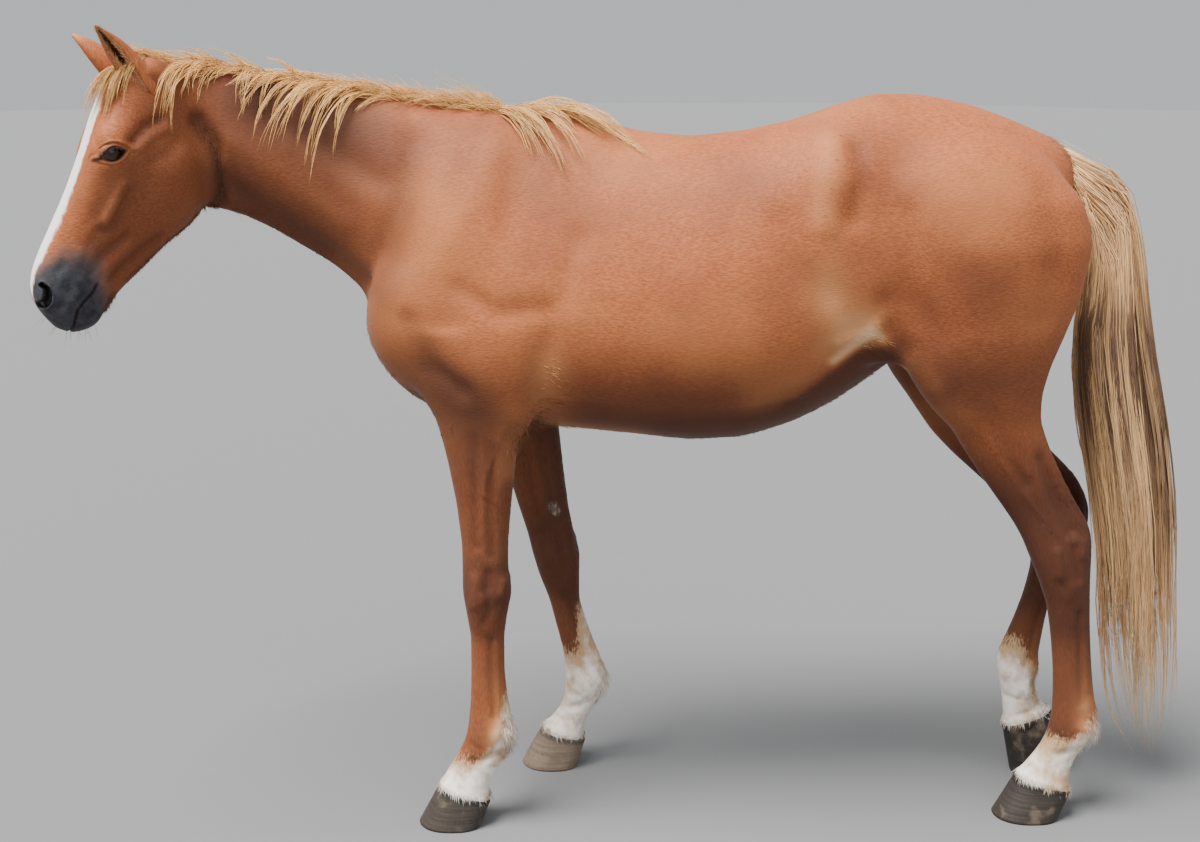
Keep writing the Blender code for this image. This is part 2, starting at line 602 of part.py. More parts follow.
def build_body():
    """Trunk, neck, head and legs in one skin."""
    pieces = [
        loft("trunk", level_sections(TRUNK, 0.02, 0.022)),
        loft("neck", bend(level_sections(NECK, 0.02, 0.025))),
        loft("head", head_sections(HEAD, 0.012, 0.010)),
        loft("near fore", leg_sections(NEAR_FORE, LEFT, 0.012, 0.010)),
        loft("far fore", leg_sections(FAR_FORE, RIGHT, 0.012, 0.010)),
        loft("near hind", leg_sections(NEAR_HIND, LEFT, 0.012, 0.012)),
        loft("far hind", leg_sections(FAR_HIND, RIGHT, 0.012, 0.012)),
    ]
    for name, (centre, sizes, lean) in MASSES.items():
        pieces += [ellipsoid(name, centre, sizes, lean, side) for side in (LEFT, RIGHT)]
    for side in (LEFT, RIGHT):
        down, out, front = BROW_AT
        pieces.append(ball("brow", head_place(down, side * out, front), BROW_RADIUS))
    return grow_together(pieces)


def ball(name, centre, radius):
    """A round ball, such as an eye."""
    mesh = bmesh.new()
    bmesh.ops.create_uvsphere(mesh, u_segments=14, v_segments=8, radius=radius)
    bmesh.ops.translate(mesh, vec=Vector(centre), verts=mesh.verts)
    return finished(name, mesh)


def build_ear(name, base, tip):
    """A cupped leaf: each ring is a crescent, its hollow facing forward and outward."""
    rise = np.linspace(0, 1, EAR_RINGS)[:, None]
    half, cup, wall = (column[:, None] for column in soften(EAR, rise[:, 0], 0.05).T)
    angle = np.linspace(-EAR_WRAP, EAR_WRAP, EAR_POINTS)[None]
    outer = np.stack([half * np.sin(angle), -cup * np.cos(angle)], axis=-1)
    inner = outer * np.stack([1 - wall / half, 1 - wall / cup], axis=-1).clip(0.05, 1)
    ring = np.concatenate([outer, inner[:, -2:0:-1]], axis=1)
    side = np.sign(base[1])
    base, tip = head_place(*base), head_place(*tip)
    along = tip - base
    up = along / np.linalg.norm(along)
    facing = Matrix.Rotation(BEND_ANGLE + HEAD_TURN - side * EAR_OPENING, 3, "Z") @ Vector((-1, 0, 0))
    mouth = np.array(facing) - up * np.dot(facing, up)
    mouth /= np.linalg.norm(mouth)
    across = np.cross(up, mouth)
    centre = base + rise * along - EAR_CURVE * np.sin(np.pi * rise) * mouth
    return loft(name, centre[:, None] + ring[..., :1] * across + ring[..., 1:] * mouth)


def build_hoof(name, toe, heel, top_toe, top_heel, side_place, halves):
    """A hoof: level sections that lean with the wall from the sole up to the coronet."""
    rise = np.linspace(0, 1, 3)[:, None]
    front = np.array(toe) + rise * (np.array(top_toe) - toe)
    back = np.array(heel) + rise * (np.array(top_heel) - heel)
    angle = np.linspace(0, 2 * np.pi, HOOF_POINTS, endpoint=False)[None]
    across, forward = rounded(angle, TOE_ROUND, HEEL_ROUND)
    middle, reach = (front + back) / 2, (front - back) / 2
    flat = middle[:, None] + forward[..., None] * reach[:, None]
    half = halves[0] + rise * (halves[1] - halves[0])
    points = np.stack([flat[..., 0], side_place + half * across, flat[..., 1]], axis=-1)
    return loft(name, points)


def build_tail_hair():
    """The fall of the tail, as level sections."""
    spacing = 0.09
    places = np.append(np.arange(TAIL[0][0], TAIL[-1][0] - spacing / 2, spacing), TAIL[-1][0])
    front, back, half = (column[:, None] for column in soften(TAIL, places, 0.015).T)
    angle = np.linspace(0, 2 * np.pi, HAIR_POINTS, endpoint=False)[None]
    x = (front + back) / 2 + np.cos(angle) * (back - front) / 2
    y = half * np.sin(angle)
    return loft("tail_hair", np.stack([x, y, places[:, None] + 0 * x], axis=-1))


def build_dock():
    """The fleshy root of the tail, from inside the croup down into the hair."""
    rise = np.linspace(0, 1, 6)[:, None]
    route = np.array(DOCK_START) + rise * (np.array(DOCK_END) - DOCK_START)
    route[:, 0] += DOCK_ARCH * np.sin(np.pi * rise[:, 0])
    radius = DOCK_RADII[0] + rise * (DOCK_RADII[1] - DOCK_RADII[0])
    angle = np.linspace(0, 2 * np.pi, HAIR_POINTS, endpoint=False)[None]
    x = route[:, :1] + radius * np.cos(angle) * DOCK_TILT[0]
    z = route[:, 2:] + radius * np.cos(angle) * DOCK_TILT[1]
    return loft("dock", np.stack([x, radius * np.sin(angle), z], axis=-1))


def build_mane():
    """The mane: a roll of hair along the crest that thins out down both sides of the neck."""
    places = np.linspace(MANE[0][0], MANE[-1][0], 14)
    left, right, thick = (column[:, None] for column in soften(MANE, places, 0.02).T)
    columns = soften(NECK, places, 0.025)[:, :, None]
    top, bottom, half, middle, above, below = np.moveaxis(columns, 1, 0)
    share = np.linspace(-1, 1, MANE_POINTS)[None]
    lean = np.radians(np.where(share < 0, left, right)) * share
    across, up = rounded(np.pi / 2 - lean, above, below)
    stand = 1 + thick * (1 - share**4) / (top - middle)
    outer = np.stack([half * across * stand, middle + (top - middle) * up * stand], axis=-1)
    inner = np.stack([half * across * MANE_ROOT, middle + (top - middle) * up * MANE_ROOT], axis=-1)
    ring = np.concatenate([outer, inner[:, ::-1]], axis=1)
    points = np.stack([places[:, None] + 0 * ring[..., 0], ring[..., 0], ring[..., 1]], axis=-1)
    return loft("mane", bend(points))


def build_forelock():
    """The forelock: a flat lock from the poll down over the forehead."""
    down, front, half, thick = (column[:, None] for column in np.array(FORELOCK).T)
    angle = np.linspace(0, 2 * np.pi, HAIR_POINTS, endpoint=False)[None]
    return loft(
        "forelock", head_place(down + 0 * angle, half * np.cos(angle), front + thick * np.sin(angle))
    )


def largest_piece(made):
    """Drops the crumbs that a cut leaves beside a part."""
    mesh = bmesh.new()
    mesh.from_mesh(made.data)
    unseen, islands = set(mesh.verts), []
    while unseen:
        front = [unseen.pop()]
        island = set(front)
        while front:
            near = {edge.other_vert(point) for point in front for edge in point.link_edges}
            front = list(near - island)
            island |= near
        unseen -= island
        islands.append(island)
    islands.sort(key=len)
    crumbs = [point for island in islands[:-1] for point in island]
    bmesh.ops.delete(mesh, geom=crumbs, context="VERTS")
    mesh.to_mesh(made.data)
    mesh.free()
    return made


def part_leg(body, name, hoof):
    """Takes a leg off the body and parts it at the knee or hock, the fetlock and the coronet."""
    kind = name.split("_")[1]
    piece = largest_piece(take_from(body, name + "_" + LEG_PARTS[kind][0], *LEG_BOXES[name]))
    parts = [piece]
    for height, part in zip(LEG_CUTS[name], LEG_PARTS[kind][1:]):
        piece = slice_off(piece, name + "_" + part, (0, 0, height), (0, 0, -1))
        parts.append(piece)
    (toe_x, toe_z), (heel_x, heel_z) = hoof[2:4]
    slope = Vector((heel_x - toe_x, 0, heel_z - toe_z)).normalized()
    normal = Vector((-slope.z, 0, slope.x)) * -1
    keep_side(piece, Vector((toe_x, 0, toe_z)) - normal * GAP, normal)
    return parts


def part_trunk(body):
    """Parts the body, whose legs are off, into head, muzzle, neck, forehand and hindquarters."""
    place, way = HEAD_CUT
    head = slice_off(body, "head", bend(np.array(place)), Matrix.Rotation(BEND_ANGLE, 3, "Z") @ Vector(way))
    yaw = Matrix.Rotation(BEND_ANGLE + HEAD_TURN, 3, "Z")
    muzzle_way = yaw @ Vector((HEAD_DOWN[0], 0, HEAD_DOWN[1]))
    muzzle = slice_off(head, "muzzle", head_place(MUZZLE_DOWN, 0, 0), muzzle_way)
    neck = slice_off(body, "neck", *NECK_CUT)
    forehand = slice_off(body, "forehand", *FOREHAND_CUT)
    hindquarters = slice_off(body, "hindquarters", *HINDQUARTERS_CUT)
    body.name = "barrel"
    return [head, muzzle, neck, forehand, hindquarters, body]


def build_eyes(body):
    """The eyeballs, and the sockets for them in the head."""
    eyes = []
    for name, side in (("eye_left", LEFT), ("eye_right", RIGHT)):
        centre = head_place(EYE_AT[0], side * EYE_AT[1], EYE_AT[2])
        eyes.append(ball(name, centre, EYE_RADIUS))
        socket = ball("socket", centre, EYE_RADIUS + GAP)
        combine(body, socket, "DIFFERENCE")
        discard(socket)
    return eyes


def stand_in_middle(parts):
    """Moves the horse so that the middle of its box stands over the origin."""
    points = np.concatenate([np.array([tuple(point.co) for point in part.data.vertices]) for part in parts])
    low, high = points.min(axis=0), points.max(axis=0)
    shift = Matrix.Translation((-(low[0] + high[0]) / 2, -(low[1] + high[1]) / 2, 0))
    for part in parts:
        part.data.transform(shift)


def main():
    clear_scene()
    body = build_body()
    eyes = build_eyes(body)
    ears = [build_ear(name, *ends) for name, ends in EARS.items()]
    dock = build_dock()
    tail = fit_against(build_tail_hair(), [body, dock])
    mane = fit_against(build_mane(), [body, *ears])
    forelock = fit_against(build_forelock(), [body, *ears, mane])
    for root in (*ears, dock):
        fit_against(root, [body])
    hair = [largest_piece(part) for part in (tail, mane, forelock)]
    hooves, legs = [], []
    for name, hoof in HOOVES.items():
        horn = build_hoof(name + "_hoof", *hoof)
        hooves.append(keep_side(horn, Vector((0, 0, 0)), Vector((0, 0, -1))) if hoof[0][1] < 0 else horn)
        legs += part_leg(body, name, hoof)
    flesh = [largest_piece(part) for part in (*part_trunk(body), *legs, *ears, dock)]
    for part in flesh:
        dark, white = part.name == "muzzle", part.name.endswith("pastern")
        colour(part, *(DARK_MUZZLE if dark else WHITE_SOCK if white else CHESTNUT))
    for parts, finish in ((hair, FLAXEN), (hooves, HORN), (eyes, EYE_BROWN)):
        for part in parts:
            colour(part, *finish)
    stand_in_middle(flesh + hair + hooves + eyes)


main()
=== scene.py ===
"""A young chestnut riding horse standing at rest, life size, worked up round its solid model.

It looks along -X with its left side towards -Y. Sizes are in metres.
"""
import math

import bmesh
import bpy
import numpy as np
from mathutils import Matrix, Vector


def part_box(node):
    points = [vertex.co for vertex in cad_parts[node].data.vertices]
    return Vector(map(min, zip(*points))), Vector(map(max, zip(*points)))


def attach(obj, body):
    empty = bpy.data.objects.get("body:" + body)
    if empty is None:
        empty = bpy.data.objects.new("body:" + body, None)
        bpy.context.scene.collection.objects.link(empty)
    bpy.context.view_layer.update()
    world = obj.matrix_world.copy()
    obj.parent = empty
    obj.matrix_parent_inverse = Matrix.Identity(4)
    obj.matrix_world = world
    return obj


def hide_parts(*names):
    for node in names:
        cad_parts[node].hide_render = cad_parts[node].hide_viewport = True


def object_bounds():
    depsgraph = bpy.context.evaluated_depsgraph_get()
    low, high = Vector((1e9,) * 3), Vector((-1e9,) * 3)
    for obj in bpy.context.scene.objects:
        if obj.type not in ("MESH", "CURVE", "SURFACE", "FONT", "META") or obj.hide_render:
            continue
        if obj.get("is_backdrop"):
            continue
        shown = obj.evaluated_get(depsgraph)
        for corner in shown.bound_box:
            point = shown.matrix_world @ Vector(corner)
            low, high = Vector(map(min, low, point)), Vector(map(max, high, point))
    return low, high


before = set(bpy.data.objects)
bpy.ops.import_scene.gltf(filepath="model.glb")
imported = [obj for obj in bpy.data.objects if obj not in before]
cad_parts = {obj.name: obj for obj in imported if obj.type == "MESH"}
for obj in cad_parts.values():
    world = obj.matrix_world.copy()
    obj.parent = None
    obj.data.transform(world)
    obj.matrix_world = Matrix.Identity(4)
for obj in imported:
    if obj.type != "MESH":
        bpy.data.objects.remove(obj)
CAD_BOX = [list(corner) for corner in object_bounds()]

# ---------------------------------------------------------------------------------------
# The hide. One skin over trunk, neck, head and legs, of thin short-haired leather that
# shows the muscles, veins and folds below it. It is worked out as the surface where the
# depth under the body's rounded sections is nothing, and but for its raised forms it lies
# inside the solid model by the depth of the coat.
# ---------------------------------------------------------------------------------------
# The tables hold places measured before the model was centred: SHIFT carries them over.
HOOF_CORNER = np.array([-0.402, -0.215, 0.0])
SHIFT = (np.array(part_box("left_fore_hoof")[0]) - HOOF_CORNER) * (1, 1, 0)

# Trunk: place along X, top line, belly line, half width, height of the widest place,
# roundness above it and below it (2 is an ellipse, less is more of a ridge).
TRUNK = (
    (-0.512, 1.150, 1.075, 0.045, 1.110, 2.2, 2.2),
    (-0.492, 1.240, 1.020, 0.120, 1.120, 2.2, 2.2),
    (-0.450, 1.360, 0.968, 0.165, 1.130, 2.2, 2.3),
    (-0.400, 1.460, 0.928, 0.188, 1.140, 2.1, 2.3),
    (-0.320, 1.530, 0.895, 0.203, 1.150, 1.8, 2.3),
    (-0.220, 1.562, 0.880, 0.212, 1.150, 1.55, 2.2),
    (-0.130, 1.570, 0.872, 0.220, 1.140, 1.50, 2.1),
    (-0.050, 1.562, 0.864, 0.232, 1.130, 1.60, 2.0),
    (0.080, 1.525, 0.851, 0.252, 1.130, 1.85, 2.0),
    (0.200, 1.513, 0.838, 0.268, 1.140, 2.0, 2.0),
    (0.320, 1.526, 0.845, 0.272, 1.160, 2.05, 2.0),
    (0.430, 1.550, 0.880, 0.262, 1.190, 2.4, 2.0),
    (0.520, 1.582, 0.927, 0.245, 1.230, 2.5, 2.0),
    (0.600, 1.606, 0.985, 0.230, 1.260, 2.2, 2.0),
    (0.700, 1.603, 1.060, 0.230, 1.290, 2.0, 2.1),
    (0.800, 1.583, 1.100, 0.220, 1.290, 2.0, 2.2),
    (0.880, 1.555, 1.130, 0.195, 1.300, 2.0, 2.2),
    (0.950, 1.526, 1.170, 0.155, 1.320, 2.0, 2.2),
    (1.000, 1.500, 1.240, 0.100, 1.360, 2.0, 2.2),
    (1.025, 1.470, 1.330, 0.050, 1.390, 2.0, 2.0),
)
# Neck: the same columns, in the plane of the straight neck.
NECK = (
    (-0.970, 1.655, 1.500, 0.050, 1.580, 2.0, 2.0),
    (-0.920, 1.668, 1.400, 0.058, 1.540, 1.8, 2.0),
    (-0.860, 1.666, 1.361, 0.062, 1.510, 1.6, 2.0),
    (-0.800, 1.658, 1.350, 0.066, 1.500, 1.5, 2.0),
    (-0.740, 1.648, 1.324, 0.070, 1.480, 1.5, 2.0),
    (-0.660, 1.636, 1.276, 0.076, 1.450, 1.5, 2.0),
    (-0.575, 1.623, 1.222, 0.086, 1.410, 1.5, 2.0),
    (-0.500, 1.608, 1.150, 0.102, 1.370, 1.5, 2.0),
    (-0.420, 1.592, 1.100, 0.132, 1.330, 1.5, 2.0),
    (-0.330, 1.578, 1.100, 0.165, 1.290, 1.5, 2.0),
    (-0.220, 1.566, 1.100, 0.185, 1.250, 1.5, 2.0),
)
# Head: place down from the poll, face line, jaw line, half width, depth of the widest place,
# roundness of the face side and of the jaw side.
HEAD = (
    (-0.020, 0.020, -0.060, 0.040, 0.000, 2.0, 2.0),
    (0.010, 0.052, -0.110, 0.060, 0.000, 2.1, 2.0),
    (0.050, 0.076, -0.145, 0.074, 0.000, 2.2, 2.0),
    (0.100, 0.084, -0.166, 0.088, 0.014, 2.3, 2.0),
    (0.150, 0.082, -0.187, 0.101, 0.026, 2.3, 2.1),
    (0.195, 0.078, -0.200, 0.105, 0.028, 2.3, 2.1),
    (0.240, 0.0745, -0.203, 0.095, 0.014, 2.3, 2.0),
    (0.285, 0.0745, -0.187, 0.082, 0.000, 2.2, 1.9),
    (0.335, 0.0765, -0.158, 0.070, -0.008, 2.0, 1.8),
    (0.390, 0.0785, -0.135, 0.060, -0.002, 2.0, 1.8),
    (0.440, 0.0805, -0.113, 0.054, 0.008, 2.0, 1.9),
    (0.480, 0.0790, -0.097, 0.053, 0.018, 2.1, 2.0),
    (0.515, 0.0710, -0.089, 0.056, 0.020, 2.2, 2.1),
    (0.540, 0.0560, -0.086, 0.054, 0.010, 2.2, 2.2),
    (0.558, 0.0350, -0.074, 0.045, -0.010, 2.2, 2.2),
    (0.573, 0.0060, -0.056, 0.029, -0.024, 2.0, 2.0),
    (0.579, -0.0120, -0.036, 0.010, -0.024, 2.0, 2.0),
)
# Legs: height, front edge, back edge, inner edge and outer edge measured from the middle
# plane, roundness in front and behind.
NEAR_FORE = (
    (0.020, -0.372, -0.256, 0.106, 0.196, 2.2, 2.2),
    (0.090, -0.353, -0.243, 0.106, 0.196, 2.2, 2.2),
    (0.117, -0.340, -0.231, 0.116, 0.186, 2.2, 2.1),
    (0.150, -0.320, -0.206, 0.118, 0.183, 2.2, 2.0),
    (0.180, -0.303, -0.192, 0.113, 0.188, 2.2, 2.0),
    (0.210, -0.294, -0.189, 0.112, 0.189, 2.2, 2.0),
    (0.240, -0.290, -0.193, 0.116, 0.185, 2.2, 2.0),
    (0.280, -0.286, -0.201, 0.122, 0.180, 2.2, 2.0),
    (0.350, -0.284, -0.208, 0.124, 0.178, 2.3, 2.0),
    (0.430, -0.284, -0.208, 0.120, 0.182, 2.3, 2.1),
    (0.475, -0.291, -0.202, 0.108, 0.193, 2.5, 2.2),
    (0.530, -0.300, -0.191, 0.103, 0.197, 2.6, 2.2),
    (0.575, -0.300, -0.198, 0.107, 0.193, 2.4, 2.1),
    (0.640, -0.301, -0.198, 0.109, 0.191, 2.2, 2.1),
    (0.730, -0.312, -0.190, 0.104, 0.193, 2.1, 2.1),
    (0.820, -0.329, -0.180, 0.096, 0.198, 2.1, 2.1),
    (0.910, -0.352, -0.170, 0.085, 0.203, 2.1, 2.1),
    (1.000, -0.405, -0.165, 0.065, 0.208, 2.1, 2.1),
    (1.100, -0.440, -0.180, 0.050, 0.205, 2.1, 2.1),
)
FAR_FORE = (
    (0.020, -0.170, -0.060, 0.106, 0.196, 2.2, 2.2),
    (0.090, -0.137, -0.038, 0.106, 0.196, 2.2, 2.2),
    (0.120, -0.111, -0.028, 0.116, 0.186, 2.2, 2.1),
    (0.150, -0.092, -0.008, 0.118, 0.183, 2.2, 2.0),
    (0.180, -0.084, 0.012, 0.113, 0.188, 2.2, 2.0),
    (0.210, -0.083, 0.019, 0.112, 0.189, 2.2, 2.0),
    (0.245, -0.085, 0.010, 0.116, 0.185, 2.2, 2.0),
    (0.285, -0.090, -0.006, 0.122, 0.180, 2.2, 2.0),
    (0.343, -0.105, -0.028, 0.124, 0.178, 2.3, 2.0),
    (0.410, -0.122, -0.048, 0.121, 0.181, 2.3, 2.1),
    (0.470, -0.145, -0.048, 0.108, 0.193, 2.5, 2.2),
    (0.525, -0.161, -0.047, 0.103, 0.197, 2.6, 2.2),
    (0.575, -0.173, -0.061, 0.107, 0.193, 2.4, 2.1),
    (0.640, -0.194, -0.074, 0.109, 0.191, 2.2, 2.1),
    (0.730, -0.221, -0.085, 0.104, 0.193, 2.1, 2.1),
    (0.820, -0.251, -0.094, 0.096, 0.198, 2.1, 2.1),
    (0.910, -0.290, -0.105, 0.085, 0.203, 2.1, 2.1),
    (1.000, -0.365, -0.125, 0.065, 0.208, 2.1, 2.1),
    (1.100, -0.430, -0.160, 0.050, 0.205, 2.1, 2.1),
)
NEAR_HIND = (
    (0.020, 0.912, 1.040, 0.077, 0.163, 2.2, 2.2),
    (0.093, 0.934, 1.052, 0.077, 0.163, 2.2, 2.2),
    (0.117, 0.951, 1.055, 0.086, 0.153, 2.2, 2.1),
    (0.145, 0.973, 1.067, 0.088, 0.151, 2.2, 2.0),
    (0.172, 0.990, 1.092, 0.084, 0.156, 2.2, 2.0),
    (0.205, 1.001, 1.109, 0.083, 0.157, 2.2, 2.0),
    (0.245, 1.006, 1.106, 0.087, 0.154, 2.2, 2.0),
    (0.290, 1.006, 1.097, 0.090, 0.151, 2.2, 2.0),
    (0.350, 1.003, 1.090, 0.091, 0.150, 2.2, 2.0),
    (0.430, 0.994, 1.083, 0.088, 0.152, 2.2, 2.0),
    (0.490, 0.984, 1.080, 0.082, 0.158, 2.3, 1.9),
    (0.550, 0.962, 1.078, 0.075, 0.165, 2.4, 1.8),
    (0.600, 0.941, 1.079, 0.074, 0.166, 2.4, 1.7),
    (0.640, 0.924, 1.078, 0.074, 0.164, 2.3, 1.6),
    (0.675, 0.904, 1.069, 0.074, 0.161, 2.2, 1.6),
    (0.720, 0.872, 1.040, 0.074, 0.160, 2.1, 1.6),
    (0.780, 0.828, 1.007, 0.073, 0.166, 2.1, 1.7),
    (0.850, 0.781, 0.972, 0.071, 0.180, 2.1, 1.9),
    (0.910, 0.742, 0.950, 0.069, 0.194, 2.1, 2.0),
    (0.970, 0.698, 0.949, 0.066, 0.213, 2.1, 2.1),
    (1.030, 0.652, 0.962, 0.060, 0.231, 2.1, 2.2),
    (1.090, 0.617, 0.985, 0.050, 0.244, 2.1, 2.2),
    (1.180, 0.592, 1.020, 0.035, 0.252, 2.1, 2.2),
    (1.290, 0.585, 1.039, 0.022, 0.250, 2.1, 2.3),
    (1.380, 0.600, 1.018, 0.020, 0.226, 2.1, 2.3),
    (1.460, 0.640, 0.945, 0.020, 0.172, 2.1, 2.2),
    (1.525, 0.670, 0.860, 0.020, 0.105, 2.1, 2.2),
)
FAR_HIND = (
    (0.020, 0.962, 1.080, 0.057, 0.143, 2.2, 2.2),
    (0.100, 0.962, 1.070, 0.057, 0.143, 2.2, 2.2),
    (0.145, 0.960, 1.066, 0.064, 0.136, 2.2, 2.1),
    (0.180, 0.955, 1.040, 0.068, 0.132, 2.2, 2.0),
    (0.220, 0.949, 1.024, 0.064, 0.136, 2.2, 2.0),
    (0.255, 0.940, 1.042, 0.064, 0.137, 2.2, 2.0),
    (0.295, 0.940, 1.038, 0.067, 0.134, 2.2, 2.0),
    (0.335, 0.958, 1.044, 0.070, 0.131, 2.2, 2.0),
    (0.380, 0.976, 1.051, 0.071, 0.130, 2.2, 2.0),
    (0.440, 0.996, 1.062, 0.069, 0.131, 2.2, 2.0),
    (0.500, 1.010, 1.087, 0.063, 0.137, 2.3, 1.9),
    (0.550, 1.012, 1.118, 0.056, 0.144, 2.4, 1.8),
    (0.600, 0.998, 1.141, 0.055, 0.146, 2.4, 1.7),
    (0.645, 0.962, 1.143, 0.055, 0.145, 2.3, 1.6),
    (0.685, 0.922, 1.130, 0.055, 0.143, 2.2, 1.6),
    (0.730, 0.872, 1.104, 0.056, 0.144, 2.1, 1.6),
    (0.780, 0.816, 1.052, 0.058, 0.152, 2.1, 1.7),
    (0.830, 0.768, 1.005, 0.060, 0.166, 2.1, 1.9),
    (0.890, 0.727, 0.968, 0.062, 0.186, 2.1, 2.0),
    (0.960, 0.684, 0.952, 0.064, 0.209, 2.1, 2.1),
    (1.030, 0.645, 0.962, 0.060, 0.231, 2.1, 2.2),
    *NEAR_HIND[-6:],
)
# The coronet of each foot, where skin meets horn: front and back, as (x, z).
CORONETS = {
    "left_fore": ((-0.357, 0.089), (-0.238, 0.056)),
    "right_fore": ((-0.142, 0.091), (-0.032, 0.064)),
    "left_hind": ((0.930, 0.094), (1.057, 0.064)),
    "right_hind": ((0.957, 0.118), (1.073, 0.162)),
}
LEGS = {
    "left_fore": (NEAR_FORE, -1, 0.010),
    "right_fore": (FAR_FORE, 1, 0.010),
    "left_hind": (NEAR_HIND, -1, 0.012),
    "right_hind": (FAR_HIND, 1, 0.012),
}
# Rounded masses on both sides: centre, half sizes, lean of the long axis forward in
# degrees, and the width over which each melts into the body.
MASSES = (
    ((-0.395, 0.118, 1.130), (0.095, 0.068, 0.110), 0, 0.06),
    ((-0.215, 0.155, 1.050), (0.120, 0.055, 0.130), -20, 0.05),
    ((-0.185, 0.156, 0.935), (0.040, 0.035, 0.060), 0, 0.03),
    ((0.500, 0.158, 1.420), (0.085, 0.066, 0.066), 0, 0.05),
    ((0.780, 0.150, 1.310), (0.215, 0.104, 0.190), 0, 0.06),
    ((0.735, 0.156, 1.010), (0.060, 0.050, 0.120), 30, 0.04),
    ((0.620, 0.168, 1.115), (0.085, 0.034, 0.075), 0, 0.05),
)
# The neck's sideways bend, the turn and place of the head, and where the head begins.
BEND_START, BEND_LENGTH, BEND_ANGLE = -0.46, 0.38, math.radians(18)
BEND_RADIUS = BEND_LENGTH / BEND_ANGLE
HEAD_TURN, HEAD_PIVOT, HEAD_BEGINS = math.radians(12), -0.90, -0.80
POLL, HEAD_DOWN = (-0.955, 1.655), (-0.40, -0.9165)
# The middle of each eye's ball on the head, and its radius.
EYE_AT, EYE_RADIUS = np.array([0.203, 0.087, 0.037]), 0.021
# How far the hide lies inside the sections, the steps of the net over it and of the eased
# tables, and how far back and up the net reaches.
SKIN_INSET, NET_STEP, TABLE_STEP = 0.0015, 0.0138, 0.004
HIDE_BACK, HIDE_TOP, NET_ROOM = 1.15, 1.72, 0.03
# Finer work begins below the elbows and on the muzzle, and this near the eyes' middles.
ELBOW_HEIGHT, MUZZLE_DOWN, EYE_NEAR, LIDS_NEAR = 0.84, 0.445, 0.055, 0.036


def eased(rows, width):
    """A table's columns at every step, each averaged under a bell curve of that width."""
    table = np.array(rows)
    fine = np.arange(table[0, 0], table[-1, 0] + TABLE_STEP, TABLE_STEP)
    steps = np.linspace(-2, 2, 17)
    weights = np.exp(-0.5 * steps**2)
    spread = fine[:, None] + width * steps
    spreads = [np.interp(spread, table[:, 0], column) for column in table[:, 1:].T]
    return fine, [column @ weights / weights.sum() for column in spreads]


def columns_at(table, place):
    """The eased columns at each place."""
    return [np.interp(place, table[0], column) for column in table[1]]


def smooth_step(low, high, value):
    """0 below low, 1 above high, and 3t^2 - 2t^3 between."""
    share = np.clip((value - low) / (high - low), 0, 1)
    return share * share * (3 - 2 * share)


def bell(off, width):
    """exp(-(off / width)^2): 1 in the middle, and next to nothing at twice the width."""
    return np.exp(-((off / width) ** 2))


def melt(one, two, width):
    """The lesser of two depths, rounded off where they differ by less than the width."""
    return np.minimum(one, two) - np.maximum(width - np.abs(one - two), 0) ** 2 / (4 * width)


def cut_round(one, two, width):
    """The greater of two depths, rounded off in the same way."""
    return -melt(-one, -two, width)


def unbend(points):
    """Along, aside and up as if the neck were straight: angle and radius about the bend's
    centre on the arc, and plain steps along its last direction beyond it."""
    x, y = points[:, 0], points[:, 1]
    angle = np.arctan2(BEND_START - x, y + BEND_RADIUS)
    along = BEND_START - BEND_RADIUS * angle
    aside = np.hypot(BEND_START - x, y + BEND_RADIUS) - BEND_RADIUS
    cosine, sine = math.cos(BEND_ANGLE), math.sin(BEND_ANGLE)
    end_x = BEND_START - BEND_RADIUS * sine
    end_y = -BEND_RADIUS * (1 - cosine)
    past = angle > BEND_ANGLE
    run = (x - end_x) * -cosine + (y - end_y) * -sine
    off = (x - end_x) * -sine + (y - end_y) * cosine
    along = np.where(past, BEND_START - BEND_LENGTH - run, along)
    aside = np.where(past, off, aside)
    before = angle <= 0
    along, aside = np.where(before, x, along), np.where(before, y, aside)
    return np.stack([along, aside, points[:, 2]], axis=1)


def bend(points):
    """The way back: straight points carried round the neck's sideways arc."""
    along, aside = points[..., 0], points[..., 1]
    angle = np.clip((BEND_START - along) / BEND_RADIUS, 0, BEND_ANGLE)
    beyond = np.clip(BEND_START - BEND_LENGTH - along, 0, None)
    cosine, sine = np.cos(angle), np.sin(angle)
    x = np.maximum(along, BEND_START) - (BEND_RADIUS + aside) * sine - beyond * cosine
    y = aside * cosine - BEND_RADIUS * (1 - cosine) - beyond * sine
    return np.stack([x, y, points[..., 2]], axis=-1)


def on_head(points):
    """Down from the poll, aside and to the front of the head, for points of the body."""
    straight = unbend(points)
    reach, aside = straight[:, 0] - HEAD_PIVOT, straight[:, 1]
    cosine, sine = math.cos(HEAD_TURN), math.sin(HEAD_TURN)
    x = HEAD_PIVOT + reach * cosine + aside * sine - POLL[0]
    z = straight[:, 2] - POLL[1]
    down = x * HEAD_DOWN[0] + z * HEAD_DOWN[1]
    front = x * HEAD_DOWN[1] - z * HEAD_DOWN[0]
    return np.stack([down, aside * cosine - reach * sine, front], axis=1)


def from_head(places):
    """The way back: the body's points for places given down, aside and to the front."""
    down, aside, front = places[..., 0], places[..., 1], places[..., 2]
    x = POLL[0] + HEAD_DOWN[0] * down + HEAD_DOWN[1] * front - HEAD_PIVOT
    z = POLL[1] + HEAD_DOWN[1] * down - HEAD_DOWN[0] * front
    cosine, sine = math.cos(HEAD_TURN), math.sin(HEAD_TURN)
    along, across = HEAD_PIVOT + x * cosine - aside * sine, x * sine + aside * cosine
    return bend(np.stack([along, across, z], axis=-1))


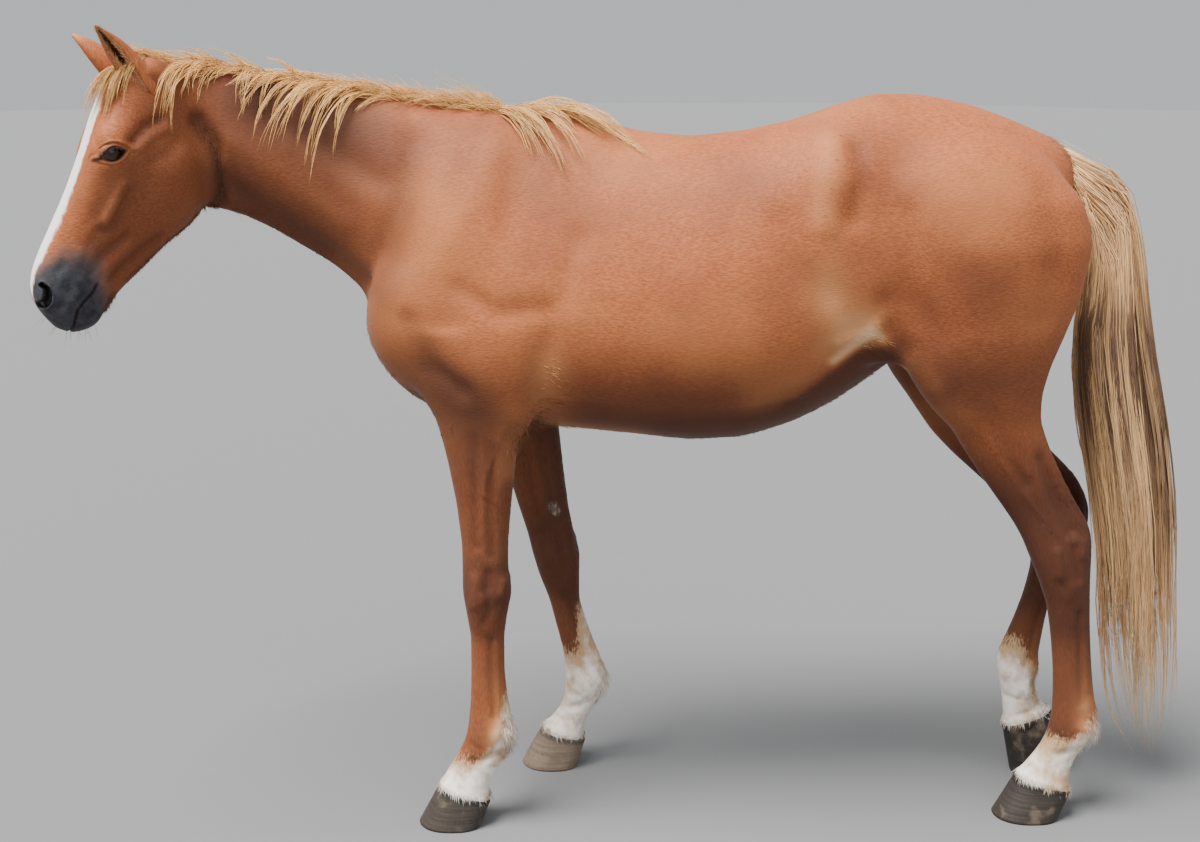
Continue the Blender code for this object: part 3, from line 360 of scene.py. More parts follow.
def ray_depth(across, up, half, reach, power):
    """Depth along the ray from a section's middle: out, less the reach of the rounded
    section |across/half|^power + |up/reach|^power = 1 on that ray."""
    across = across + 1e-7
    size = (np.abs(across / half) ** power + np.abs(up / reach) ** power) ** (1 / power)
    return np.hypot(across, up) * (1 - 1 / size)


def tube_depth(along, across, up, table, ends):
    """Depth in a tube of sections with a top, a bottom and a widest place, closed at both
    ends by planes that are rounded off over the width ends."""
    top, bottom, half, middle, above, below = columns_at(table, along)
    rise = up - middle
    reach = np.where(rise > 0, top - middle, middle - bottom)
    depth = ray_depth(across, rise, half, reach, np.where(rise > 0, above, below))
    return cut_round(depth, np.maximum(table[0][0] - along, along - table[0][-1]), ends)


def leg_place(points, name):
    """On a leg: how far forward and outward in half sizes of its section, and its sizes."""
    table, side = LEG_TABLES[name], LEGS[name][1]
    front, back, inner, outer, ahead, behind = columns_at(table, points[:, 2])
    forward = (front + back) / 2 - points[:, 0]
    across = side * points[:, 1] - (inner + outer) / 2
    return forward, across, (back - front) / 2, (outer - inner) / 2, ahead, behind


def along_leg(points, name, room):
    """How far forward on a leg, in half depths of it, and whether the place is on the leg
    or within that much room of it."""
    forward, across, reach, half = leg_place(points, name)[:4]
    return forward / reach, (np.abs(forward) < reach + room) & (np.abs(across) < half + room)


def over_coronet(points, name):
    """Height over the slanting line from the coronet's front to its back."""
    (toe_x, toe_z), (heel_x, heel_z) = CORONETS[name]
    level = toe_z + (points[:, 0] - toe_x) * (heel_z - toe_z) / (heel_x - toe_x)
    return points[:, 2] - level


def leg_depth(name):
    """Depth in a leg, cut off level with the foot just under its coronet."""
    (toe_x, toe_z), (heel_x, heel_z) = CORONETS[name]
    length = math.hypot(heel_x - toe_x, heel_z - toe_z)
    lie = ((heel_z - toe_z) / length, (heel_x - toe_x) / length)

    def depth_at(points):
        forward, across, reach, half, ahead, behind = leg_place(points, name)
        power = np.where(forward > 0, ahead, behind)
        depth = ray_depth(across, forward, half, reach, power)
        over = (points[:, 2] - toe_z) * lie[1] - (points[:, 0] - toe_x) * lie[0]
        top = points[:, 2] - LEG_TABLES[name][0][-1]
        return cut_round(np.maximum(depth, top), -0.012 - over, 0.006)

    return depth_at


def mass_depth(centre, sizes, lean, side):
    """Depth in a leaning ellipsoid."""
    turn = math.radians(lean)
    cosine, sine = math.cos(turn), math.sin(turn)
    middle = np.array(centre) * (1, side, 1)

    def depth_at(points):
        x, y, z = (points - middle).T
        local = np.stack([x * cosine + z * sine, y, z * cosine - x * sine], axis=1)
        size = np.linalg.norm(local / sizes, axis=1) + 1e-6
        return (np.linalg.norm(local, axis=1) + 1e-6) * (1 - 1 / size)

    return depth_at


TRUNK_TABLE, NECK_TABLE, HEAD_TABLE = eased(TRUNK, 0.022), eased(NECK, 0.025), eased(HEAD, 0.010)
LEG_TABLES = {name: eased(rows, width) for name, (rows, side, width) in LEGS.items()}


def trunk_depth(points):
    """Depth in the trunk's tube of sections."""
    return tube_depth(*points.T, TRUNK_TABLE, 0.03)


def neck_depth(points):
    """Depth in the neck's tube, worked out as if the neck were straight."""
    return tube_depth(*unbend(points).T, NECK_TABLE, 0.03)


def head_depth(points):
    """Depth in the head: its tube of sections, with the brow and the ears' roots."""
    down, aside, front = on_head(points).T
    depth = tube_depth(down, aside, front, HEAD_TABLE, 0.012)
    for centre, radius, width in HEAD_KNOBS:
        off = np.stack([down - centre[0], np.abs(aside) - centre[1], front - centre[2]])
        depth = melt(depth, np.linalg.norm(off, axis=0) - radius, width)
    return depth


# Knobs on both sides of the head: where, radius, and the width of their melting in.
HEAD_KNOBS = (
    ((0.174, 0.072, 0.046), 0.023, 0.020),
    ((0.190, 0.075, 0.030), 0.027, 0.020),
    ((0.030, 0.050, 0.028), 0.026, 0.020),
)
# The middle line of the tail's fleshy root.
DOCK = (
    *((0.980, 0, 1.478), (1.031, 0, 1.412), (1.074, 0, 1.345)),
    *((1.099, 0, 1.280), (1.105, 0, 1.225)),
)


def dock_depth(points):
    """Depth in the fleshy root of the tail, which thins on its way down."""
    return distance_to(points, DOCK) - np.interp(points[:, 2], (1.215, 1.478), (0.012, 0.025))


# Every shape of the body: the box outside which it isn't worked out, and its melt.
SHAPES = [
    ((0.90, -0.12, 1.16), (1.18, 0.12, 1.56), 0.07, dock_depth),
    ((-0.62, -0.40, 0.75), (1.12, 0.40, 1.70), 0.02, trunk_depth),
    ((-1.06, -0.45, 1.02), (-0.12, 0.30, 1.76), 0.035, neck_depth),
    ((-1.30, -0.50, 1.00), (-0.80, 0.20, 1.76), 0.02, head_depth),
]
for name, (rows, side, width) in LEGS.items():
    edges = np.array(rows)
    low = (edges[:, 1].min() - 0.06, -0.34 if side < 0 else -0.03, 0.0)
    high = (edges[:, 2].max() + 0.06, 0.03 if side < 0 else 0.34, edges[-1, 0] + 0.04)
    SHAPES.append((low, high, 0.028, leg_depth(name)))
for centre, sizes, lean, width in MASSES:
    for side in (-1, 1):
        middle, reach = np.array(centre) * (1, side, 1), max(sizes) + 0.06
        shape = mass_depth(centre, sizes, lean, side)
        SHAPES.append((middle - reach, middle + reach, width, shape))


def body_depth(points):
    """Depth under the hide, less than nothing inside: all the shapes melted together."""
    depth = np.full(len(points), 0.5)
    for low, high, width, shape in SHAPES:
        near = np.nonzero(np.all((points > low) & (points < high), axis=1))[0]
        if len(near):
            depth[near] = melt(depth[near], shape(points[near]), width)
    return depth + SKIN_INSET


def net_over(depth_at, low, high, step):
    """Points and quads over the level where the depth is nothing: a point in each cell of
    the grid that the level crosses, at the mean of its edges' crossings, and a quad round
    each crossed edge."""
    counts = np.ceil((np.array(high) - low) / step).astype(int) + 1
    axes = [low[axis] + step * np.arange(counts[axis]) for axis in range(3)]
    grid = np.stack(np.meshgrid(*axes, indexing="ij"), axis=-1).reshape(-1, 3)
    value = depth_at(grid).reshape(counts)
    inside = value < 0
    total, number = np.zeros((*(counts - 1), 3)), np.zeros(counts - 1)
    for axis in range(3):
        others = [other for other in range(3) if other != axis]
        for corner in ((0, 0), (0, 1), (1, 0), (1, 1)):
            window = [slice(0, -1)] * 3
            for other, offset in zip(others, corner):
                window[other] = slice(offset, counts[other] - 1 + offset)
            start = value[tuple(window)]
            window[axis] = slice(1, None)
            end = value[tuple(window)]
            crossed = (start < 0) != (end < 0)
            share = np.where(crossed, start / np.where(crossed, start - end, 1), 0)
            total[..., axis] += share
            for other, offset in zip(others, corner):
                total[..., other] += offset * crossed
            number += crossed
    used = number > 0
    index = np.full(counts - 1, -1)
    index[used] = np.arange(used.sum())
    cell = np.stack(np.nonzero(used), axis=1)
    points = low + step * (cell + total[used] / number[used][:, None])
    quads = []
    for axis in range(3):
        order = (axis, (axis + 1) % 3, (axis + 2) % 3)
        turned, cells = inside.transpose(order), index.transpose(order)
        start, end = turned[:-1, 1:-1, 1:-1], turned[1:, 1:-1, 1:-1]
        i, j, k = np.nonzero(start != end)
        ring = [cells[i, j, k], cells[i, j + 1, k], cells[i, j + 1, k + 1], cells[i, j, k + 1]]
        ring = np.stack(ring, axis=1)
        ring[end[i, j, k]] = ring[end[i, j, k], ::-1]
        quads.append(ring)
    return points, np.concatenate(quads)


def slope_of(depth_at, points, step=0.0015):
    """The depth, and its slope by small steps along each axis."""
    depth = depth_at(points)
    steps = np.eye(3) * step
    return depth, np.stack([depth_at(points + move) - depth for move in steps], axis=1) / step


def settle(points, depth_at, rounds):
    """Slides points down the slope onto the level, by Newton's steps of at most 8 mm."""
    for _ in range(rounds):
        depth, slope = slope_of(depth_at, points)
        steepness = np.maximum((slope**2).sum(axis=1), 0.05)
        move = slope * (depth / steepness)[:, None]
        length = np.linalg.norm(move, axis=1, keepdims=True)
        points = points - move * np.minimum(1, 0.008 / np.maximum(length, 1e-9))
    return points


def halve(mesh, chosen_at):
    """Halves every edge whose two ends are chosen, and refills the faces between."""
    mesh.verts.index_update()
    chosen = chosen_at(np.array([point.co for point in mesh.verts]))
    edges = [edge for edge in mesh.edges if all(chosen[end.index] for end in edge.verts)]
    bmesh.ops.subdivide_edges(mesh, edges=edges, cuts=1, use_grid_fill=True)


def close_work(points):
    """Where the hide is worked at 6 mm: head, throat and the legs below the elbow."""
    head = (on_head(points)[:, 0] > -0.05) & (points[:, 0] < HEAD_BEGINS)
    return head | (points[:, 2] < ELBOW_HEIGHT)


def face_work(points):
    """Where it is worked at 3 mm: round the eyes and on the muzzle."""
    down, aside, front = on_head(points).T
    eye = np.linalg.norm(np.stack([down, np.abs(aside), front], axis=1) - EYE_AT, axis=1)
    return (points[:, 0] < HEAD_BEGINS) & ((eye < EYE_NEAR) | (down > MUZZLE_DOWN))


def finest_work(points):
    """Where it is worked at 1.5 mm: the lids, the nostrils and the mouth's line."""
    places = on_head(points)
    down, aside, front = places.T
    eye = np.linalg.norm(places * (1, 0, 1) + np.abs(places) * (0, 1, 0) - EYE_AT, axis=1)
    nostril = np.linalg.norm(np.stack([down, front], axis=1) - NOSTRIL_MIDDLE, axis=1)
    mouth = distance_to(np.stack([down, front], axis=1), MOUTH_LINE)
    near = (eye < LIDS_NEAR) | (nostril < 0.026) & (np.abs(aside) > 0.012)
    near |= (mouth < 0.007) & (down > 0.47)
    return near & (points[:, 0] < HEAD_BEGINS)


def distance_to(points, path):
    """Distance to the nearest point of a line of straight runs."""
    path = np.array(path)
    nearest = np.full(len(points), 9.0)
    for start, end in zip(path[:-1], path[1:]):
        run = end - start
        share = np.clip((points - start) @ run / (run @ run), 0, 1)
        off = points - start - share[:, None] * run
        nearest = np.minimum(nearest, np.linalg.norm(off, axis=1))
    return nearest


NOSTRIL_MIDDLE = np.array([0.520, 0.050])
NOSTRIL_SLIT = ((0.503, 0.056), (0.507, 0.047), (0.517, 0.040), (0.530, 0.037), (0.541, 0.041))
MOUTH_LINE = (
    *((0.464, -0.044), (0.485, -0.042), (0.508, -0.032)),
    *((0.528, -0.026), (0.556, -0.032), (0.600, -0.040)),
)
THROAT = ((0.070, -0.110), (0.106, -0.160), (0.138, -0.192), (0.178, -0.214), (0.225, -0.226))
# Forms of the head, in the plane of its side: (rise, width, line).
HEAD_FORMS = (
    (0.0078, 0.009, ((0.250, -0.010), (0.292, -0.009), (0.338, -0.007))),
    (-0.0040, 0.010, ((0.262, -0.029), (0.300, -0.030), (0.336, -0.028), (0.354, -0.012))),
    (-0.0035, 0.018, ((0.258, 0.026), (0.300, 0.018), (0.336, 0.014), (0.390, 0.010))),
    (0.0015, 0.010, ((0.230, 0.066), (0.330, 0.062), (0.440, 0.060))),
    (-0.0065, 0.011, ((0.163, 0.008), (0.127, -0.005), (0.098, -0.032))),
    (0.0032, 0.010, ((0.170, -0.012), (0.139, -0.026), (0.114, -0.047))),
    (-0.0025, 0.014, ((0.190, -0.045), (0.160, -0.070), (0.130, -0.080))),
    (0.0095, 0.048, ((0.175, -0.110), (0.245, -0.112))),
    (-0.0140, 0.018, THROAT),
    (0.0014, 0.0035, ((0.262, -0.045), (0.290, -0.075), (0.312, -0.112), (0.318, -0.150))),
    (0.0012, 0.0030, ((0.290, -0.075), (0.262, -0.098), (0.245, -0.130))),
    (0.0012, 0.0030, ((0.270, 0.052), (0.296, 0.050), (0.324, 0.034), (0.351, 0.017))),
    (-0.0065, 0.011, ((0.322, -0.128), (0.386, -0.092), (0.443, -0.067))),
    (-0.0050, 0.008, ((0.348, -0.060), (0.402, -0.030), (0.446, -0.022))),
    (0.0045, 0.010, ((0.365, -0.075), (0.420, -0.052), (0.462, -0.060))),
    (0.0025, 0.008, ((0.352, 0.010), (0.390, 0.016), (0.430, 0.010))),
    (0.0030, 0.012, ((0.470, -0.012), (0.500, -0.012), (0.545, -0.006))),
    (0.0030, 0.010, ((0.505, -0.052), (0.540, -0.048))),
    (0.0045, 0.014, ((0.512, -0.078), (0.530, -0.072))),
    (-0.0040, 0.009, ((0.486, -0.092), (0.490, -0.070))),
    (-0.0030, 0.012, ((0.455, 0.036), (0.478, 0.050))),
    (-0.0020, 0.010, ((0.560, 0.010), (0.540, 0.015), (0.520, 0.010))),
)
# Forms of trunk and neck, seen from the side along the straight neck: the same columns.
BODY_FORMS = (
    (-0.0080, 0.022, ((-0.845, 1.440), (-0.741, 1.357), (-0.609, 1.270), (-0.500, 1.190))),
    (0.0040, 0.030, ((-0.800, 1.500), (-0.700, 1.430), (-0.560, 1.330))),
    (-0.0050, 0.030, ((-0.740, 1.560), (-0.600, 1.490), (-0.470, 1.420))),
    (-0.0070, 0.040, ((-0.395, 1.500), (-0.410, 1.398), (-0.440, 1.269))),
    (0.0030, 0.032, ((-0.195, 1.519), (-0.269, 1.385), (-0.345, 1.250))),
    (-0.0020, 0.030, ((-0.150, 1.480), (-0.190, 1.360), (-0.240, 1.250))),
    (-0.0070, 0.022, ((-0.400, 1.130), (-0.357, 1.039), (-0.290, 0.985))),
    (-0.0060, 0.022, ((-0.290, 1.200), (-0.215, 1.150), (-0.120, 1.160))),
    (-0.0048, 0.027, ((-0.051, 1.300), (-0.083, 1.181), (-0.125, 1.034), (-0.140, 0.950))),
    (0.0020, 0.006, ((-0.100, 0.968), (0.105, 0.946), (0.295, 0.952), (0.440, 0.975))),
    (-0.0060, 0.040, ((0.380, 1.340), (0.400, 1.260), (0.460, 1.190))),
    (0.0055, 0.028, ((0.476, 1.500), (0.466, 1.440), (0.458, 1.340))),
    (-0.0075, 0.022, ((0.528, 1.490), (0.540, 1.430), (0.520, 1.350))),
    (-0.0038, 0.034, ((0.915, 1.400), (0.947, 1.300), (0.925, 1.150))),
    (-0.0050, 0.026, ((0.625, 1.360), (0.640, 1.203), (0.700, 1.100))),
    (0.0050, 0.024, ((0.660, 1.050), (0.700, 0.990))),
    (-0.0050, 0.016, ((0.585, 1.180), (0.610, 1.120), (0.640, 1.070))),
    (0.0040, 0.012, ((0.500, 1.090), (0.560, 1.110), (0.600, 1.150))),
    (0.0014, 0.006, ((-0.020, 1.208), (0.030, 1.200), (0.082, 1.196))),
    (0.0012, 0.005, ((-0.010, 1.190), (0.040, 1.184), (0.080, 1.182))),
)
# Forms of the legs: rise, width, and a line given as height and how far forward, in half
# depths of the leg there.
FORE_FORMS = (
    (-0.0055, 0.007, ((0.430, -0.25), (0.340, -0.28), (0.250, -0.25))),
    (0.0022, 0.004, ((0.420, -0.52), (0.270, -0.45))),
    (-0.0045, 0.010, ((0.880, 0.10), (0.760, 0.20), (0.640, 0.30))),
    (-0.0045, 0.010, ((0.860, -0.40), (0.740, -0.30), (0.620, -0.35))),
    (0.0050, 0.012, ((0.570, 0.40), (0.510, 0.50))),
    (0.0050, 0.012, ((0.535, -0.60), (0.560, -0.75))),
    (-0.0045, 0.008, ((0.585, -0.20), (0.540, -0.05), (0.500, -0.20), (0.470, 0.10))),
    (0.0035, 0.010, ((0.530, 0.10), (0.520, 0.15))),
    (0.0060, 0.014, ((0.205, -0.35), (0.215, -0.30))),
    (0.0026, 0.0045, ((0.900, -0.60), (0.780, -0.10), (0.650, 0.15))),
    (0.0020, 0.0035, ((0.760, -0.05), (0.740, -0.40), (0.700, -0.50))),
    (-0.0050, 0.008, ((0.165, -0.60), (0.150, 0.30))),
    (-0.0030, 0.005, ((0.190, 0.70), (0.178, 0.20))),
)
HIND_FORMS = (
    (-0.0055, 0.007, ((0.480, -0.30), (0.380, -0.25), (0.270, -0.20))),
    (0.0022, 0.004, ((0.460, -0.55), (0.300, -0.50))),
    (-0.0110, 0.014, ((0.830, -0.62), (0.740, -0.48), (0.665, -0.40))),
    (0.0055, 0.012, ((0.620, 0.20), (0.570, 0.30))),
    (0.0050, 0.009, ((0.640, -0.70), (0.610, -0.60))),
    (-0.0050, 0.009, ((0.630, -0.35), (0.560, -0.40))),
    (0.0025, 0.012, ((0.540, -0.10), (0.520, 0.10))),
    (-0.0050, 0.014, ((0.950, 0.05), (0.860, 0.10), (0.770, 0.10))),
    (0.0060, 0.014, ((0.205, -0.35), (0.215, -0.30))),
    (0.0026, 0.0045, ((0.900, 0.50), (0.780, 0.30), (0.660, 0.10), (0.560, 0.30))),
    (0.0018, 0.0035, ((0.860, 0.40), (0.830, 0.00), (0.790, -0.15))),
    (-0.0050, 0.008, ((0.165, -0.60), (0.150, 0.30))),
    (-0.0035, 0.006, ((0.195, 0.75), (0.185, 0.20), (0.205, -0.10))),
)


def relief(places, forms):
    """The sum of the forms: each rise under a bell curve of the distance to its line."""
    return sum(
        rise * bell(distance_to(places, line), width) for rise, width, line in forms
    )


def callus_spread(points, name):
    """How far out from the middle of the bare callus inside each limb, 1 on its edge."""
    forward, across, reach, half = leg_place(points, name)[:4]
    height, share = (0.640, -0.45) if "fore" in name else (0.500, -0.35)
    off = np.hypot((points[:, 2] - height) / 0.020, (forward / reach - share) / 0.24)
    return np.where(across < -0.35 * half, off, 9.0)


def leg_relief(points, name):
    """The relief of a leg, with heights and depths of the section turned into metres."""
    forms = FORE_FORMS if "fore" in name else HIND_FORMS
    table = LEG_TABLES[name]
    rise = np.zeros(len(points))
    for height, width, line in forms:
        path = []
        for level, share in line:
            front, back = (np.interp(level, table[0], column) for column in table[1][:2])
            path.append((level, (front + back) / 2 - share * (back - front) / 2))
        off = distance_to(points[:, [2, 0]], path)
        rise += height * bell(off, width)
    rise += 0.0025 * smooth_step(1.3, 0.7, callus_spread(points, name))
    return rise + 0.004 * bell(over_coronet(points, name) - 0.004, 0.010)


def side_weight(normals):
    """1 where the hide faces sideways, fading to 0 where it faces along the middle plane."""
    return smooth_step(0.25, 0.65, np.abs(normals[:, 1]))


def rise_of(points, sideways):
    """How far the forms under the hide raise each place, or less than nothing in a fold."""
    straight, places = unbend(points), on_head(points)
    head = smooth_step(-0.02, 0.03, places[:, 0]) * (points[:, 0] < HEAD_BEGINS)
    body = smooth_step(0.86, 0.96, points[:, 2]) * (1 - head)
    rise = 1.35 * relief(straight[:, [0, 2]], BODY_FORMS) * sideways * body
    off_middle = smooth_step(0.008, 0.03, np.abs(places[:, 1]))
    rise += relief(places[:, [0, 2]], HEAD_FORMS) * head * off_middle
    for name in LEGS:
        own = along_leg(points, name, 0.03)[1] & (points[:, 2] < 1.0)
        rise[own] += (leg_relief(points, name) * smooth_step(0.98, 0.88, points[:, 2]))[own]
    return rise


def pressed_face(points):
    """Opens the mouth's line and the nostrils, and shapes the lids round the eyes."""
    places = on_head(points)
    face = np.nonzero((points[:, 0] < HEAD_BEGINS) & (places[:, 0] > 0.10))[0]
    down, aside, front = places[face].T
    side, out = np.sign(aside), np.abs(aside)
    flat = np.stack([down, front], axis=1)
    lips = bell(distance_to(flat, MOUTH_LINE), 0.0028) * smooth_step(0.452, 0.475, down)
    down = down - 0.007 * lips * smooth_step(0.03, 0.0, out)
    out = out - 0.0060 * lips * smooth_step(0.012, 0.03, out)
    slit = distance_to(flat, NOSTRIL_SLIT) / np.interp(
        flat[:, 0], (0.500, 0.520, 0.541), (0.0055, 0.0080, 0.0095)
    )
    beside = out > 0.012
    rim = bell(slit - 1.25, 0.30) * beside
    hole = smooth_step(1.0, 0.70, slit) * beside
    out = out + 0.0030 * rim - 0.018 * hole
    front = front - 0.012 * hole
    down = down - 0.004 * hole
    spread, below = lid_spread(flat)
    reach = np.hypot(flat[:, 0] - EYE_AT[0], flat[:, 1] - EYE_AT[2])
    ball = EYE_AT[1] + np.sqrt(np.maximum(EYE_RADIUS**2 - reach**2, 0))
    lid = out + (np.maximum(out, ball + 0.0022) - out) * smooth_step(1.9, 1.05, spread)
    lid -= 0.0026 * bell(spread - 1.50, 0.14) * (below < 0.3) * (reach < 0.05)
    lid += 0.0016 * bell(spread - 1.75, 0.16) * (below < 0.3)
    lid -= 0.0016 * bell(spread - 1.75, 0.16) * (below > 0.3)
    lid += 0.0012 * bell(spread - 1.12, 0.12)
    cover = ball + 0.0011 - 1.5 * np.maximum(reach - EYE_RADIUS, 0)
    lid = np.where(spread > 1, np.maximum(lid, cover), lid)
    near_eye = (reach < 0.05) & (out > 0.05)
    out = np.where(near_eye, lid - smooth_step(1.0, 0.86, spread) * 0.013, out)
    points = points.copy()
    points[face] = from_head(np.stack([down, side * out, front], axis=1))
    return points


# The eye's opening: its middle and the way of its length on the head's side, half its
# length, and how far the lids open above and below.
LIDS_AT, LIDS_ALONG = np.array([0.2045, 0.033]), np.array([0.62, 0.785])
LIDS_HALF, UPPER_LID, LOWER_LID = 0.0235, 0.0155, 0.0125


def lid_spread(flat):
    """How far out from the middle of the eye's opening, 1 on the lids' edge: the edge is
    two arcs that meet in the corners. Also how far below the line of the corners."""
    off = flat - LIDS_AT
    along = off @ LIDS_ALONG / LIDS_HALF
    under = off[:, 0] * LIDS_ALONG[1] - off[:, 1] * LIDS_ALONG[0]
    below = under / np.where(under > 0, LOWER_LID, UPPER_LID)
    return 0.5 * (np.abs(below) + np.sqrt(below**2 + 4 * along**2)), below


low = np.array(CAD_BOX[0]) - SHIFT - NET_ROOM
high = np.array([HIDE_BACK, CAD_BOX[1][1] - SHIFT[1] + NET_ROOM, HIDE_TOP])
hide_points, hide_quads = net_over(body_depth, low, high, NET_STEP)
hide_points = settle(hide_points, body_depth, 3)
hide_mesh = bpy.data.meshes.new("hide")
hide_mesh.from_pydata(hide_points.tolist(), [], hide_quads.tolist())
work = bmesh.new()
work.from_mesh(hide_mesh)
for chosen_at in (close_work, face_work, finest_work):
    halve(work, chosen_at)
work.to_mesh(hide_mesh)
work.free()
hide_points = np.empty(len(hide_mesh.vertices) * 3, np.float32)
hide_mesh.vertices.foreach_get("co", hide_points)
hide_points = settle(hide_points.reshape(-1, 3).astype(float), body_depth, 4)
hide_normals = slope_of(body_depth, hide_points)[1]
hide_normals /= np.linalg.norm(hide_normals, axis=1, keepdims=True)
hide_rise = rise_of(hide_points, side_weight(hide_normals))
hide_points = pressed_face(hide_points + hide_normals * hide_rise[:, None])
hide_faces = [tuple(face.vertices) for face in hide_mesh.polygons]


def new_object(name, data):
    """An object of a mesh, lamp or camera, put in the scene."""
    made = bpy.data.objects.new(name, data)
    bpy.context.scene.collection.objects.link(made)
    return made


def new_mesh(name, points, faces):
    """A smooth mesh, its points carried over to the centred model."""
    made = bpy.data.meshes.new(name)
    made.from_pydata((points.reshape(-1, 3) + SHIFT).tolist(), [], faces)
    made.shade_smooth()
    return made


# Each ear: its side, and where its root and tip are on the head.
EARS = (
    (-1, (0.052, -0.052, 0.006), (-0.027, -0.064, 0.151)),
    (1, (0.056, 0.052, 0.012), (-0.008, 0.064, 0.163)),
)
# Share of the ear's length, half width, depth of the cup, thickness of the wall, and half
# the arc that it wraps, in radians.
EAR_SECTIONS = (
    (-0.10, 0.021, 0.021, 0.0120, 2.90),
    (0.00, 0.025, 0.025, 0.0100, 2.95),
    (0.15, 0.028, 0.026, 0.0055, 2.86),
    (0.30, 0.029, 0.025, 0.0035, 2.78),
    (0.48, 0.027, 0.021, 0.0030, 2.70),
    (0.66, 0.022, 0.016, 0.0028, 2.60),
    (0.82, 0.014, 0.010, 0.0026, 2.42),
    (0.93, 0.007, 0.005, 0.0022, 2.20),
    (1.00, 0.002, 0.002, 0.0014, 1.70),
)
EAR_ROWS, EAR_POINTS = 44, 26


def ear_points(side, root, tip):
    """Rings of an ear's crescent sections: half * sin and cup * cos of an arc, out along
    the back and home along the hollow, set square to a line that bows backwards."""
    rise = np.linspace(-0.08, 1, EAR_ROWS)[:, None]
    columns = columns_at(eased(EAR_SECTIONS, 0.05), rise[:, 0])
    half, cup, wall, wrap = (column[:, None] for column in columns)
    angle = np.linspace(-1, 1, EAR_POINTS)[None] * wrap
    back = np.stack([half * np.sin(angle), -cup * np.cos(angle)], axis=-1)
    hollow = back * np.stack([1 - wall / half, 1 - wall / cup], axis=-1).clip(0.05, 1)
    ring = np.concatenate([back, hollow[:, -2:0:-1]], axis=1)
    start, end = from_head(np.array([root, tip]))
    along = end - start
    up = along / np.linalg.norm(along)
    turn = BEND_ANGLE + HEAD_TURN - side * math.radians(60)
    facing = np.array([-math.cos(turn), -math.sin(turn), 0])
    mouth = facing - up * (facing @ up)
    mouth /= np.linalg.norm(mouth)
    across = np.cross(up, mouth)
    bow = -0.008 * np.sin(np.pi * rise.clip(0, 1)) + 0.006 * rise.clip(0, 1) ** 6
    centre = start + rise * along + bow * mouth
    return centre[:, None] + ring[..., :1] * across + ring[..., 1:] * mouth


def tube_faces(rows, around, first=0, closed_ends=True):
    """Quads of a tube of rings, and a many-sided face on each end."""
    row, step = np.meshgrid(np.arange(rows - 1), np.arange(around), indexing="ij")
    after = (step + 1) % around
    here, there = row * around, (row + 1) * around
    quads = np.stack([here + step, here + after, there + after, there + step], axis=-1)
    faces = (quads.reshape(-1, 4) + first).tolist()
    if closed_ends:
        last = first + (rows - 1) * around
        faces.append(list(range(first + around - 1, first - 1, -1)))
        faces.append(list(range(last, last + around)))
    return faces


ear_inside = []
for side, root, tip in EARS:
    rings = ear_points(side, root, tip)
    hide_faces += tube_faces(*rings.shape[:2], first=len(hide_points))
    hollow = np.zeros(rings.shape[:2])
    hollow[:, EAR_POINTS:] = 1
    ear_inside.append((len(hide_points), hollow.ravel()))
    hide_points = np.concatenate([hide_points, rings.reshape(-1, 3)])
hide_mesh = new_mesh("hide", hide_points, hide_faces)
hide = new_object("hide", hide_mesh)

# Markings of skin and coat alike, with painted shade and painted highlights among them, worked
# out from places on the body.
# Half width of the blaze by the way down the face, and the grey skin's edge: how far down
# by how far to the front.
BLAZE = (
    *((0.055, 0.0), (0.090, 0.020), (0.124, 0.031), (0.250, 0.031), (0.380, 0.026)),
    *((0.450, 0.020), (0.500, 0.015), (0.530, 0.007), (0.552, -0.004)),
)
MUZZLE_EDGE = (
    *((-0.090, 0.512), (-0.078, 0.502), (-0.047, 0.465), (-0.029, 0.444), (-0.002, 0.434)),
    *((0.040, 0.438), (0.069, 0.478), (0.078, 0.497)),
)
EYE_CORNER, CHEEK_CREST_PAINTED_HIGHLIGHT = ((0.219, 0.049), (0.227, 0.058)), ((0.285, -0.008), (0.338, -0.006))
# Top of the white on each leg: in front and behind.
SOCKS = {
    "left_fore": (0.150, 0.300),
    "right_fore": (0.285, 0.400),
    "left_hind": (0.185, 0.245),
    "right_hind": (0.330, 0.250),
}
FLANK_FOLD = ((0.420, 0.945), (0.500, 1.012), (0.555, 1.056), (0.592, 1.046), (0.630, 1.005))
# Pale places of the body, cream hair but for the line over the hip bone, a painted highlight:
# how pale, reach and line, seen from the side.
PALE_HAIR_AND_PAINTED_HIGHLIGHT = (
    (0.46, 0.013, ((0.490, 1.048), (0.535, 1.086), (0.570, 1.108), (0.592, 1.094))),
    (0.24, 0.045, ((0.330, 0.980), (0.430, 1.020), (0.505, 1.120), (0.550, 1.130))),
    (0.22, 0.070, ((0.470, 1.180), (0.530, 1.140))),
    # A painted highlight down the ridge over the hip bone.
    (0.15, 0.040, ((0.470, 1.500), (0.458, 1.340), (0.470, 1.200))),
    (0.30, 0.055, ((-0.125, 0.940), (-0.105, 1.030))),
    (0.40, 0.030, ((-0.080, 0.875), (0.250, 0.838), (0.480, 0.890), (0.640, 1.020))),
    (0.26, 0.030, ((-0.185, 0.860), (-0.195, 0.800))),
    (0.30, 0.040, ((0.660, 0.980), (0.760, 0.920))),
)
